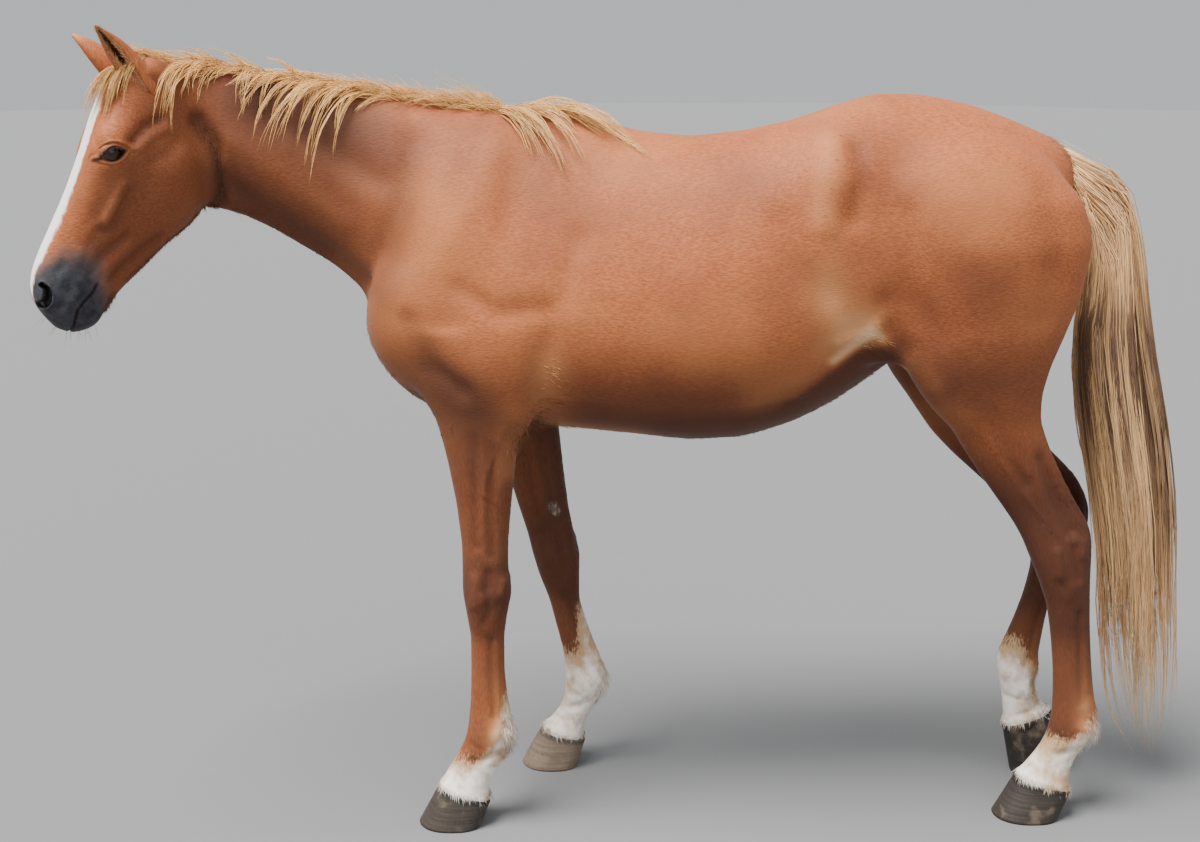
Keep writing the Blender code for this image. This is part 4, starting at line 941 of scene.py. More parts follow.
# Dark places: painted shade in the grooves, hollows and folds of the forms and under shoulder,
# stifle and belly, and darker coat with painted shade on neck, withers, back and thigh: how
# dark, reach and line.
DARK_COAT_AND_PAINTED_SHADE = (
    (0.56, 0.095, ((-0.350, 1.000), (-0.260, 0.940))),
    (0.50, 0.090, ((0.620, 1.060), (0.700, 0.980))),
    (0.35, 0.050, ((-0.360, 1.050), (-0.290, 0.985))),
    (0.30, 0.040, ((-0.410, 1.360), (-0.440, 1.260), (-0.460, 1.180))),
    (0.25, 0.040, ((-0.841, 1.430), (-0.741, 1.357), (-0.609, 1.270))),
    (0.25, 0.050, ((0.560, 1.000), (0.640, 0.960))),
    (0.95, 0.050, ((0.160, 0.830), (0.380, 0.855), (0.500, 0.920), (0.590, 1.020))),
    (0.80, 0.022, FLANK_FOLD),
    (0.24, 0.055, ((0.540, 1.500), (0.620, 1.420), (0.720, 1.290), (0.800, 1.200))),
    (0.16, 0.050, ((0.880, 1.360), (0.930, 1.280))),
    (0.42, 0.070, ((-0.740, 1.600), (-0.560, 1.540), (-0.430, 1.470))),
    (0.22, 0.080, ((0.250, 1.420), (0.330, 1.400))),
    (0.36, 0.110, ((-0.230, 1.480), (-0.120, 1.450))),
    (0.30, 0.022, ((0.528, 1.490), (0.540, 1.430))),
    (0.18, 0.100, ((0.800, 1.180), (0.860, 1.050))),
)


# The values of a place far from the white and far from the grey skin.
NO_WHITE, NO_GREY = -0.05, -0.1


def eye_rims(flat, lids):
    """How bare and dark the lids' edges and the eye's front corner are."""
    spread, below = lid_spread(flat)
    edge = smooth_step(np.where(below > 0, 1.16, 1.55), 1.05, spread)
    corner = smooth_step(0.007, 0.001, distance_to(flat, EYE_CORNER))
    return np.maximum(edge, corner) * lids


def limb_tone_and_painted_shade(points):
    """How dark the coat is by height and place along the body: first darker hair down the limbs,
    with painted shade low on the barrel, on the quarters and under the belly, then over knees,
    hocks and fetlocks."""
    x, height = points[:, 0], points[:, 2]
    # Darker hair down the limbs, with painted shade low on the barrel and on the quarters.
    limbs = 0.29 * smooth_step(0.95, 0.80, height) + 0.38 * smooth_step(1.12, 0.90, height)
    limbs += 0.26 * smooth_step(1.35, 1.05, height) * smooth_step(0.55, 0.75, x)
    limbs -= 0.10 * smooth_step(0.46, 0.34, height)
    limbs -= 0.36 * bell(height - 0.86, 0.10) * (x > 0.4)
    # Painted shade under the belly.
    belly = smooth_step(1.12, 0.92, height) * smooth_step(-0.20, 0.0, x)
    limbs += 0.42 * belly * smooth_step(0.62, 0.45, x)
    joints = bell(height - np.where(x > 0.4, 0.60, 0.54), 0.075)
    joints = joints + 0.45 * bell(height - 0.20, 0.035)
    return limbs, np.where(x > 0.4, 0.34, 0.24) * joints * (height < 0.85)


def coat_marks(points):
    """For each place: how far inside the white, how far inside the grey skin, how pale the coat
    is with painted highlights, how dark it is with painted shade, and how far the hair lies down
    the limb instead of along."""
    places, straight = on_head(points), unbend(points)
    down, aside, front = places.T
    height, side, flat = points[:, 2], straight[:, [0, 2]], places[:, [0, 2]]
    on_face = points[:, 0] < HEAD_BEGINS
    blaze = np.interp(down, *zip(*BLAZE)) - np.abs(aside + 0.004)
    blaze = np.minimum(blaze, (front - 0.030) * 0.8)
    white = np.where(on_face & (down > 0.02) & (down < 0.575), blaze, NO_WHITE)
    muzzle = (down - np.interp(front, *zip(*MUZZLE_EDGE))) * 0.8
    grey = np.where(on_face, muzzle, NO_GREY)
    tan = np.zeros(len(points))
    for name, (front_top, back_top) in SOCKS.items():
        ahead, own = along_leg(points, name, 0.02)
        own = own & (height < 0.7)
        top = back_top + (front_top - back_top) * smooth_step(-1.0, 0.3, ahead)
        white[own] = np.maximum(white, np.maximum(top - height, -0.1))[own]
        callus = -0.003 - 0.05 * smooth_step(0.8, 1.3, callus_spread(points, name))
        white[own] = np.maximum(white, callus)[own]
        grey[own] = np.maximum(grey, callus)[own]
        tan[own] = (bell(height - 0.20, 0.09) * smooth_step(0.6, -0.6, ahead))[own]
    pale = relief(side, PALE_HAIR_AND_PAINTED_HIGHLIGHT) * smooth_step(-0.75, -0.60, straight[:, 0])
    pale = pale * smooth_step(0.70, 0.80, height)
    pale = pale * (1 - 0.5 * smooth_step(0.0, 0.1, points[:, 1]))
    # A painted highlight along the facial crest.
    crest = bell(distance_to(flat, CHEEK_CREST_PAINTED_HIGHLIGHT), 0.007) * on_face
    shins = smooth_step(0.46, 0.36, height) * (height < 0.5)
    spread, below = lid_spread(flat)
    lids = np.where(on_face & (np.abs(aside) > 0.05) & (down < 0.30), 1.0, 0.0)
    under_eye = 0.45 * bell(spread - 1.36, 0.14) * (below > 0) * lids
    pale += 0.62 * tan + 0.12 * shins + 0.16 * crest + under_eye
    rise = rise_of(points, smooth_step(0.03, 0.10, np.abs(straight[:, 1])))
    # A painted highlight on the raised forms under the hide.
    raised = np.clip(rise / 0.040, 0, 0.10) * (1 - grey.clip(0, 1))
    pale = np.clip(pale + raised, 0, 1)
    limbs, joints = limb_tone_and_painted_shade(points)
    # Darker coat and painted shade down the neck and over the face's sides, fading to its front.
    neck = 0.62 * smooth_step(-0.30, -0.62, straight[:, 0])
    fore = np.where(on_face, 0.54 - 0.44 * smooth_step(-0.015, 0.045, front), neck)
    dark = relief(side, DARK_COAT_AND_PAINTED_SHADE) * 0.8 + np.maximum(limbs, fore) + joints
    # Painted shade in the folds and creases between the forms, stronger on the face.
    folds = np.where(on_face & (down > 0), 0.20, 0.09) * np.clip(-rise / 0.007, 0, 1)
    dark = np.clip((dark + folds) * (1 - pale), 0, 0.9)
    lie = smooth_step(1.0, 0.80, height) * (1 - on_face)
    # Black in the nostrils and along the mouth's line: dark skin and painted shade in the
    # recesses. The lids' edges are dark skin.
    pits = smooth_step(0.0095, 0.0035, distance_to(flat, NOSTRIL_SLIT)) * on_face
    pits = pits * (down > 0.48) * (np.abs(aside) > 0.012)
    lips = bell(distance_to(flat, MOUTH_LINE), 0.003) * on_face * (down > 0.455)
    black = np.maximum.reduce([pits, 0.8 * lips, 0.85 * eye_rims(flat, lids)])
    return {"white": white, "grey": grey, "pale": pale, "dark": dark, "lie": lie, "black": black}


def keep_marks(mesh, marks):
    """Stores the markings on the mesh's points for its material to read."""
    for name, values in marks.items():
        kept = mesh.attributes.new(name, "FLOAT", "POINT").data
        kept.foreach_set("value", values.astype(np.float32))


class Value:
    """A value in a material's nodes: + - * / and ** add the node that works it out."""

    def __init__(self, socket):
        self.socket, self.tree = socket, socket.id_data

    def worked(self, operation, one, two):
        """The sum, difference, product, ratio or power of two values."""
        return new_node(self.tree, "Math", {0: one, 1: two}, operation=operation)

    def __add__(self, other):
        return self.worked("ADD", self, other)

    def __radd__(self, other):
        return self.worked("ADD", other, self)

    def __sub__(self, other):
        return self.worked("SUBTRACT", self, other)

    def __rsub__(self, other):
        return self.worked("SUBTRACT", other, self)

    def __mul__(self, other):
        return self.worked("MULTIPLY", self, other)

    def __truediv__(self, other):
        return self.worked("DIVIDE", self, other)

    def __pow__(self, other):
        return self.worked("POWER", self, other)


def feed(socket, value):
    """Joins a socket to a value, or sets it to a constant."""
    if isinstance(value, Value):
        socket.id_data.links.new(value.socket, socket)
    else:
        socket.default_value = (*value, 1) if socket.type == "RGBA" else value


def new_node(tree, kind, inputs, **settings):
    """Adds a node, sets it and feeds its inputs; returns its first live output."""
    node = tree.nodes.new("ShaderNode" + kind)
    for name, value in settings.items():
        setattr(node, name, value)
    for socket, value in inputs.items():
        feed(node.inputs[socket], value)
    return Value(next(output for output in node.outputs if output.enabled))


def mark(tree, name):
    """The value of a marking."""
    node = tree.nodes.new("ShaderNodeAttribute")
    node.attribute_name = name
    return Value(node.outputs["Fac"])


def ramp(value, low, high):
    """0 below low and 1 above high, eased between."""
    inputs = {"Value": value, "From Min": low, "From Max": high}
    return new_node(value.tree, "MapRange", inputs, interpolation_type="SMOOTHSTEP")


def blend(share, one, two):
    """Colour one turned into colour two by the share."""
    return new_node(share.tree, "Mix", {0: share, 6: one, 7: two}, data_type="RGBA")


def noise(place, size, detail, **more):
    """Soft noise with that many patches to the metre."""
    inputs = {"Vector": place, "Scale": size, "Detail": detail, **more}
    return new_node(place.tree, "TexNoise", inputs)


def streaks(place, turn, stretch, size, detail):
    """Noise drawn out along one axis after a turn."""
    inputs = {"Vector": place, "Rotation": turn, "Scale": stretch}
    return noise(new_node(place.tree, "Mapping", inputs), size, detail, Roughness=0.6)


def new_material(name):
    """A material with its node tree, its shader and the place on the horse."""
    made = bpy.data.materials.new(name)
    made.use_nodes = True
    tree = made.node_tree
    place = Value(tree.nodes.new("ShaderNodeTexCoord").outputs["Object"])
    return made, tree, tree.nodes["Principled BSDF"], place


def roughen(shader, height, strength, distance):
    """Bumps the shader's surface by the height."""
    bump = {"Height": height, "Strength": strength, "Distance": distance}
    feed(shader.inputs["Normal"], new_node(height.tree, "Bump", bump))


def coat_material(name, bump):
    """The coat: chestnut, paler where it is thin and with painted highlights, darker with
    painted shade, white on blaze and socks, grey on bare skin, in short streaks along the lie of
    the hair."""
    made, tree, shader, place = new_material(name)
    pale, dark, lie, white_in, grey_in, black = (
        mark(tree, key) for key in ("pale", "dark", "lie", "white", "grey", "black")
    )
    # Hair: streaks along the body, turning to streaks down the limbs.
    along = streaks(place, (0, 0.45, 0), (28, 90, 90), 3.2, 4)
    down = streaks(place, (0, 0, 0), (90, 90, 24), 3.2, 4)
    hair = along + lie * (down - along)
    patches = noise(place, 7.0, 5.0)
    broad = noise(place, 3.1, 3.0)
    ragged = noise(place, 55.0, 3.0)
    colour = blend(ramp(hair, 0.30, 0.70), CHESTNUT_DEEP, CHESTNUT_LIGHT)
    colour = blend(ramp(patches, 0.42, 0.72) * 0.55, colour, CHESTNUT_BROWN)
    colour = blend(ramp(broad, 0.46, 0.66) * 0.45, colour, CHESTNUT_GOLD)
    # Pale hair with painted highlights, and darker hair with painted shade.
    thin = pale * ramp(patches, 0.15, 0.60)
    colour = blend(ramp(thin, 0.0, 0.55), colour, TAWNY)
    colour = blend(ramp(thin, 0.25, 1.05), colour, CREAM)
    colour = blend(dark, colour, CHESTNUT_SHADOW)
    # White: its edge wanders and frays along the hair, and dust lies on it.
    wander = (ragged - 0.5) * (0.016 + lie * 0.034)
    frayed = wander + lie * ((down - 0.5) * 0.10)
    white = ramp((white_in + frayed) / (0.006 + lie * 0.012), -1.0, 1.0)
    near_edge = ramp(white_in, 0.055, 0.0) * 0.22
    dirt = lie * ramp(patches + near_edge + ragged * 0.35, 0.52, 0.84)
    white_hair = blend(dirt, blend(hair, WHITE_SHADE, WHITE_HAIR), SOILED)
    colour = blend(white, colour, white_hair)
    # Bare skin: grey and mottled, with a short grey down at its edge, black in the hollows, as
    # dark skin and painted shade.
    grey = ramp(grey_in + wander * 2.0, -0.046, 0.016)
    bare = blend(ramp(ragged, 0.35, 0.65), GREY_SKIN, GREY_DARK)
    bare = blend(ramp(grey_in, -0.030, 0.030), GREY_DOWN, bare)
    colour = blend(grey * (1.0 - white), colour, bare)
    feed(shader.inputs["Base Color"], blend(black, colour, BLACK_SKIN_AND_PAINTED_SHADE))
    pores = new_node(tree, "TexVoronoi", {"Vector": place, "Scale": 420.0}, feature="F1")
    roughen(shader, hair * (1.0 - grey) + grey * (pores * 0.5), bump, 0.004)
    shader.inputs["Roughness"].default_value = 0.58
    shader.inputs["Specular IOR Level"].default_value = 0.16
    shader.inputs["Sheen Weight"].default_value = 0.04
    shader.inputs["Sheen Roughness"].default_value = 0.45
    shader.inputs["Sheen Tint"].default_value = (1.0, 0.78, 0.62, 1)
    return made


CHESTNUT_LIGHT, CHESTNUT_DEEP = (0.415, 0.128, 0.047), (0.275, 0.076, 0.027)
CHESTNUT_BROWN, CHESTNUT_GOLD = (0.245, 0.073, 0.032), (0.445, 0.162, 0.057)
CHESTNUT_SHADOW = (0.050, 0.018, 0.011)
TAWNY, CREAM = (0.51, 0.215, 0.083), (0.72, 0.50, 0.30)
WHITE_HAIR, WHITE_SHADE, SOILED = (0.95, 0.92, 0.88), (0.72, 0.64, 0.56), (0.44, 0.29, 0.165)
GREY_DOWN, GREY_SKIN = (0.095, 0.083, 0.083), (0.041, 0.043, 0.053)
GREY_DARK, BLACK_SKIN_AND_PAINTED_SHADE = (0.022, 0.022, 0.026), (0.007, 0.006, 0.006)
# The ears have no white and no bare skin: painted shade darkens the hollow, and they are pale
# at the tip.
marks = coat_marks(hide_points)
for first, hollow in ear_inside:
    rise = np.repeat(np.linspace(0, 1, EAR_ROWS), len(hollow) // EAR_ROWS)
    ear = {"white": NO_WHITE, "grey": NO_GREY, "lie": 1, "black": 0, "dark": 0.55 * hollow}
    for name, value in {**ear, "pale": 0.5 * smooth_step(0.76, 1.0, rise)}.items():
        marks[name][first : first + len(hollow)] = value
keep_marks(hide_mesh, marks)
hide_mesh.materials.append(coat_material("hide", 0.25))
FLESH = ["barrel", "ear_left", "ear_right", "forehand", "head"]
FLESH += ["hindquarters", "muzzle", "neck", "dock"]
for name in LEGS:
    upper = ("forearm", "knee") if "fore" in name else ("gaskin", "hock")
    FLESH += [name + "_" + part for part in (*upper, "cannon", "pastern")]
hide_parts(*FLESH)
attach(hide, "root")

# ---------------------------------------------------------------------------------------
# The eyes. Wet dark brown balls with a clear bulge in front and a pupil that lies along
# the lids, set in their sockets behind the lids' edges.
# ---------------------------------------------------------------------------------------
def eye_points(side):
    """A ball in rings about the line of sight, pushed out over the cornea by a bell curve
    of the angle from that line."""
    turns, arounds = np.linspace(0, np.pi, 33), np.linspace(0, 2 * np.pi, 48, endpoint=False)
    turn, around = np.meshgrid(turns, arounds, indexing="ij")
    radius = EYE_RADIUS * (1 + 0.05 * bell(turn, 0.55))
    along = radius * np.sin(turn) * np.cos(around)
    over = radius * np.sin(turn) * np.sin(around)
    out = radius * np.cos(turn)
    down = EYE_AT[0] + along * LIDS_ALONG[0] + over * LIDS_ALONG[1]
    front = EYE_AT[2] + along * LIDS_ALONG[1] - over * LIDS_ALONG[0]
    places = np.stack([down, side * (EYE_AT[1] + out), front], axis=-1)
    return from_head(places), along / EYE_RADIUS, over / EYE_RADIUS


def turn_out(mesh, merge_poles=False):
    """Turns all faces of a closed mesh outwards, its poles merged first if they aren't."""
    work = bmesh.new()
    work.from_mesh(mesh)
    if merge_poles:
        bmesh.ops.remove_doubles(work, verts=work.verts, dist=1e-6)
    bmesh.ops.recalc_face_normals(work, faces=work.faces)
    work.to_mesh(mesh)
    work.free()


def eye_material():
    """Dark brown iris round a black pupil twice as long as high, under a wet gloss."""
    made, tree, shader, place = new_material("wet eye")
    along, over = mark(tree, "along"), mark(tree, "over")
    pupil = ramp((along / 0.46) ** 2.0 + (over / 0.24) ** 2.0, 0.8, 1.3)
    rim = ramp(along**2.0 + over**2.0, 0.55, 0.80)
    flecks = noise(place, 600.0, 3.0)
    iris = blend(ramp(flecks, 0.3, 0.7), IRIS_DEEP, IRIS_LIGHT)
    iris = blend(pupil, PUPIL, iris)
    feed(shader.inputs["Base Color"], blend(rim, iris, IRIS_RIM))
    shader.inputs["Roughness"].default_value = 0.12
    shader.inputs["Specular IOR Level"].default_value = 0.25
    shader.inputs["Coat Weight"].default_value = 0.35
    shader.inputs["Coat Roughness"].default_value = 0.02
    return made


IRIS_DEEP, IRIS_LIGHT = (0.016, 0.007, 0.003), (0.038, 0.016, 0.007)
PUPIL, IRIS_RIM = (0.004, 0.005, 0.008), (0.020, 0.012, 0.009)
wet_eye = eye_material()
for side, name in ((-1, "left"), (1, "right")):
    points, along, over = eye_points(side)
    faces = np.array(tube_faces(*points.shape[:2], closed_ends=False))
    mesh = new_mesh("eyeball_" + name, points, faces[:, :: -side].tolist())
    keep_marks(mesh, {"along": along.ravel(), "over": over.ravel()})
    turn_out(mesh, merge_poles=True)
    mesh.materials.append(wet_eye)
    eyeball = new_object("eyeball_" + name, mesh)
    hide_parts("eye_" + name)
    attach(eyeball, "root")

# ---------------------------------------------------------------------------------------
# The hooves. Horn shoes grown in rings from the coronet, flat on the ground, the off hind
# one resting on its toe. Each stands on the floor and takes the foot's skin into its top.
# ---------------------------------------------------------------------------------------
# Toe and heel on the sole as (x, z), place along Y, half widths at the sole and coronet,
# and how dark the horn is.
HOOVES = {
    "left_fore": ((-0.402, 0.0), (-0.262, 0.0), -0.151, (0.064, 0.049), 0.92),
    "right_fore": ((-0.188, 0.0), (-0.054, 0.0), 0.151, (0.064, 0.049), 0.25),
    "left_hind": ((0.882, 0.0), (1.022, 0.0), -0.120, (0.060, 0.047), 0.95),
    "right_hind": ((0.984, -0.005), (1.086, 0.062), 0.100, (0.060, 0.047), 1.00),
}


def hoof_points(name):
    """Level rings that lean from the sole up to the coronet, toe rounder than heel, then a
    small roll over the coronet and a dished top that the skin stands in."""
    toe, heel, middle_y, halves = HOOVES[name][:4]
    top_toe, top_heel = CORONETS[name]
    wall = [0.0, 0.0, 0.02, *np.linspace(0.08, 0.94, 16), 0.98, 1.0, 0.985, 0.96, 0.93]
    girth = [0.02, 0.96, 1.0, *np.linspace(1, 0.97, 16), 0.95, 0.92, 0.88, 0.80, 0.10]
    rise, shrink = np.array(wall)[:, None], np.array(girth)[:, None]
    front = np.array(toe) + rise * (np.array(top_toe) - toe)
    back = np.array(heel) + rise * (np.array(top_heel) - heel)
    angle = np.linspace(0, 2 * np.pi, 72, endpoint=False)[None]
    across, forward = np.cos(angle), np.sin(angle)
    power = np.where(forward > 0, 2.1, 2.8)
    size = (np.abs(across) ** power + np.abs(forward) ** power) ** (-1 / power)
    notch = 1 - 0.10 * bell(across, 0.22) * (forward < 0)
    band = 1 + 0.006 * bell(rise - 0.92, 0.05) + 0.004 * np.sin(rise * 46 + 0.6 * across)
    size = size * notch * band * shrink
    middle, reach = (front + back) / 2, (front - back) / 2
    flat = middle[:, None] + (forward * size)[..., None] * reach[:, None]
    half = halves[0] + rise * (halves[1] - halves[0])
    y, z = middle_y + half * across * size, np.maximum(flat[..., 1], 0)
    return np.stack([flat[..., 0], y, z], axis=-1), rise


def horn_material(name, dark):
    """Horn: level rings, fine upright fibres, a dark band under the coronet and dried mud."""
    made, tree, shader, place = new_material(name)
    rings = streaks(place, (0, 0, 0), (8, 8, 160), 1.0, 2)
    fibres = streaks(place, (0, 0.4, 0), (300, 300, 20), 1.2, 2)
    mud = noise(place, 22.0, 5.0)
    base = [(1 - dark) * pale + dark * deep for pale, deep in zip(HORN_PALE, HORN_DARK)]
    ring, fibre, band = ([shade * share for share in base] for shade in (0.68, 1.5, 0.35))
    colour = blend(ramp(rings, 0.35, 0.65), base, ring)
    colour = blend(ramp(fibres, 0.45, 0.7) * 0.35, colour, fibre)
    colour = blend(ramp(mark(tree, "rise"), 0.78, 0.95), colour, band)
    feed(shader.inputs["Base Color"], blend(ramp(mud, 0.52, 0.66) * 0.7, colour, MUD))
    roughen(shader, rings + mud * 0.6, 0.35, 0.003)
    shader.inputs["Roughness"].default_value = 0.55
    shader.inputs["Specular IOR Level"].default_value = 0.35
    return made


HORN_PALE, HORN_DARK, MUD = (0.23, 0.17, 0.12), (0.024, 0.019, 0.016), (0.13, 0.095, 0.065)
for name, hoof in HOOVES.items():
    points, rise = hoof_points(name)
    mesh = new_mesh(name + "_horn", points, tube_faces(*points.shape[:2]))
    keep_marks(mesh, {"rise": (rise + 0 * points[..., 0]).ravel()})
    turn_out(mesh)
    mesh.materials.append(horn_material(name + " horn", hoof[4]))
    horn = new_object(name + "_horn", mesh)
    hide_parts(name + "_hoof")
    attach(horn, "root")

# ---------------------------------------------------------------------------------------
# The mane. Flaxen locks rooted along the crest, most of them fallen to the off side, with
# forward locks behind the ear and rearward ones on the withers to the near side.
# ---------------------------------------------------------------------------------------
# Rows of a guide line, a strip's patch on the map, and a full turn in radians, near enough.
GUIDE_ROWS, PATCH, TURN = 18, 0.003, 6.28


def unit(ways):
    """Ways brought to length 1."""
    return ways / np.maximum(np.linalg.norm(ways, axis=-1, keepdims=True), 1e-9)


def fallen(roots, ways, lengths, weight, lift):
    """Guide lines. Every step turns further down by its weight, and is then moved out along
    the slope of the body's depth until it clears the skin."""
    path, ways = [roots], unit(ways)
    for row in range(GUIDE_ROWS - 1):
        ways = unit(ways + np.array([0, 0, -1.0]) * weight[:, None])
        there = path[-1] + ways * (lengths / (GUIDE_ROWS - 1))[:, None]
        depth, slope = slope_of(body_depth, there)
        gap = np.maximum(lift * min(1, (row + 1) / 4) - depth, 0)
        there = there + unit(slope) * np.minimum(gap, 0.03)[:, None]
        ways = unit(there - path[-1])
        path.append(there)
    return np.stack(path, axis=1)


def strands(guides, outs, each, spread, short, width, rows, draw, wave):
    """Thin three-sided hairs about every guide: set off from it by random shares that
    narrow to the tip, waved by a sine, cut short at random, and tapered at both ends."""
    count = len(guides) * each
    which = np.repeat(np.arange(len(guides)), each)
    share = np.linspace(0, 1, rows)[None]
    spot = share * (1 - short * draw.random((count, 1)) ** 1.5) * (guides.shape[1] - 1)
    before = np.minimum(spot.astype(int), guides.shape[1] - 2)
    part = (spot - before)[..., None]
    which_row = which[:, None]
    line = guides[which_row, before] * (1 - part) + guides[which_row, before + 1] * part
    along = unit(np.gradient(line, axis=1))
    out = unit(outs[which][:, None] + 0 * line)
    aside = unit(np.cross(along, out))
    out = np.cross(aside, along)
    spreads = np.array([spread, spread * 0.35])[:, None, None, None]
    shift, lift = draw.normal(size=(2, count, 1, 1)) * spreads
    narrow = (1 - 0.55 * smooth_step(0.2, 1.0, share))[..., None]
    phase, beats = draw.random((count, 1)) * TURN, 1 + 2.5 * draw.random((count, 1))
    sway = (wave * share * np.sin(phase + TURN * beats * share))[..., None]
    shift = np.clip(shift, -2 * spread, 2 * spread) * narrow + sway
    line = line + aside * shift + out * np.abs(lift) * narrow
    roll = draw.normal(size=(count, 1, 1)) * 0.5
    wide = aside * np.cos(roll) + out * np.sin(roll)
    thick = out * np.cos(roll) - aside * np.sin(roll)
    taper = np.interp(share, (0, 0.12, 0.55, 0.9, 1), (0.55, 1, 0.9, 0.45, 0.08))
    size = (width * (0.6 + 0.8 * draw.random((count, 1))) * taper)[..., None]
    corners = [line - wide * size / 2, line + thick * size * 0.3, line + wide * size / 2]
    return np.stack(corners, axis=2), np.broadcast_to(share, (count, rows)), which


def joined(name, rings, values, material, patch, replaced):
    """Joins closed three-sided strips into one piece, with its values on the points and a
    small patch of the map for each strip."""
    count, rows = rings.shape[:2]
    around = rows * 3
    first = (np.arange(count) * around)[:, None, None]
    row, side = np.arange(rows - 1)[None, :, None] * 3, np.arange(3)[None, None]
    here, there, after = first + row, first + row + 3, (side + 1) % 3
    quads = np.stack([here + side, here + after, there + after, there + side], axis=-1)
    root, tip = first[:, 0] + [2, 1, 0], first[:, 0] + around - 3 + np.arange(3)
    ends = np.concatenate([root, tip])[:, ::-1].tolist()
    mesh = new_mesh(name, rings, quads[..., ::-1].reshape(-1, 4).tolist() + ends)
    marks = {}
    for key, value in values.items():
        value = value.reshape(count, -1)
        marks[key] = np.repeat(value, around // value.shape[1], axis=1).ravel()
    keep_marks(mesh, marks)
    corner = np.empty(len(mesh.loops), np.int32)
    mesh.loops.foreach_get("vertex_index", corner)
    strip, place = corner // around, corner % around
    spot = np.stack([place // 3 / (rows - 1), place % 3 / 2], axis=1) * PATCH
    spots = (patch[strip] + spot).clip(0, 1).astype(np.float32)
    mesh.uv_layers.new(name="OFBake").data.foreach_set("uv", spots.ravel())
    mesh.materials.append(material)
    made = new_object(name, mesh)
    if replaced:
        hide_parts(replaced)
    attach(made, "root")


def root_patches(roots):
    """Patches in rows and columns, in the order of the roots along the body."""
    count = len(roots)
    width = math.ceil(math.sqrt(count))
    rank = np.empty(count, int)
    rank[np.argsort(roots[:, 0] - roots[:, 2])] = np.arange(count)
    return np.stack([rank % width, rank // width], axis=1) / width


def hair_material(name, light, warm, deep):
    """Long hair: each strand its own shade between two colours, darker where it is marked
    deep, in fine lengthwise streaks."""
    made, tree, shader, place = new_material(name)
    fleck = noise(place, 260.0, 3.0)
    colour = blend(mark(tree, "tone"), light, warm)
    colour = blend(mark(tree, "deep"), colour, deep)
    shade = [0.55 * share for share in warm]
    colour = blend(ramp(fleck, 0.35, 0.7) * 0.18, colour, shade)
    feed(shader.inputs["Base Color"], colour)
    roughen(shader, fleck, 0.2, 0.001)
    shader.inputs["Roughness"].default_value = 0.42
    shader.inputs["Specular IOR Level"].default_value = 0.45
    shader.inputs["Sheen Weight"].default_value = 0.12
    return made


BLOND, STRAW, BROWN = (0.93, 0.555, 0.17), (0.72, 0.35, 0.11), (0.125, 0.054, 0.026)
mane_hair = hair_material("flaxen mane", BLOND, STRAW, (0.26, 0.11, 0.05))
straight = unbend(hide_points[hide_points[:, 0] < 0.3])
crest = straight[(np.abs(straight[:, 1]) < 0.02) & (straight[:, 2] > 1.40)]
CREST_X = np.linspace(-0.98, 0.10, 55)
CREST_Z = np.array([crest[np.abs(crest[:, 0] - x) < 0.02, 2].max() for x in CREST_X])
# Locks of the mane: from and to along the crest, side (-1 near), how many, length, how far
# they aim up, back and aside, weight, hairs in each, and how wide a lock spreads.
MANE_FALLS = (
    (-0.960, -0.150, 1, 150, 0.230, 0.16, -0.30, 0.8, 0.12, 12, 0.0075),
    (-0.970, -0.300, 1, 70, 0.150, 0.28, -0.80, 0.4, 0.14, 10, 0.0060),
    (-0.880, -0.815, -1, 8, 0.225, 0.40, -0.75, 0.7, 0.17, 9, 0.0045),
    (-0.850, -0.800, -1, 6, 0.130, 0.40, -0.75, 0.7, 0.15, 4, 0.0050),
    (-0.775, -0.700, -1, 6, 0.145, 0.50, -0.55, 0.9, 0.20, 5, 0.0035),
    (-0.660, -0.560, -1, 9, 0.215, 0.35, -0.75, 0.9, 0.15, 9, 0.0050),
    (-0.580, -0.490, -1, 8, 0.245, 0.35, -0.80, 0.9, 0.15, 8, 0.0050),
    (-0.700, -0.470, -1, 16, 0.130, 0.40, -0.95, 0.8, 0.14, 6, 0.0055),
    (-0.960, -0.200, -1, 150, 0.100, 0.12, -1.10, 0.18, 0.060, 7, 0.0065),
    (-0.520, -0.200, -1, 60, 0.085, 0.30, -1.00, 0.10, 0.04, 6, 0.0065),
    (-0.250, -0.190, -1, 12, 0.150, 0.50, -1.00, 0.1, 0.015, 3, 0.0070),
    (-0.550, -0.250, -1, 14, 0.090, 0.55, -0.90, 0.1, 0.03, 3, 0.0060),
    (-0.235, -0.165, -1, 16, 0.225, 0.10, 0.80, 0.9, 0.090, 10, 0.0055),
    (-0.190, -0.070, -1, 18, 0.215, 0.00, 1.20, 0.5, 0.080, 11, 0.0055),
)


def mane_guides(falls, draw):
    """Roots drawn along the crest, and aims turned with the bend of the neck."""
    made = []
    for start, end, side, count, length, up, back, aside, weight, each, spread in falls:
        x = np.linspace(start, end, count) + draw.normal(size=count) * (end - start) / count
        y, z = draw.normal(size=count) * 0.006 - 0.002, np.interp(x, CREST_X, CREST_Z) - 0.004
        root = np.stack([x, y, z], axis=1)
        stray = 0.17 * draw.normal(size=(count, 3)) * (1, 1, 0.5)
        aim = np.array([back, side * aside, up]) + stray
        placed = bend(root)
        way = bend(root + aim * 0.01) - placed
        size = length * (0.5 + 0.7 * draw.random(count))
        weights = weight * (0.8 + 0.5 * draw.random(count))
        guides = fallen(placed, way, size, weights, 0.006)
        outs = unit(bend(root + np.array([0, side * 0.01, 0.006])) - placed)
        made.append((guides, outs, each, spread))
    return made


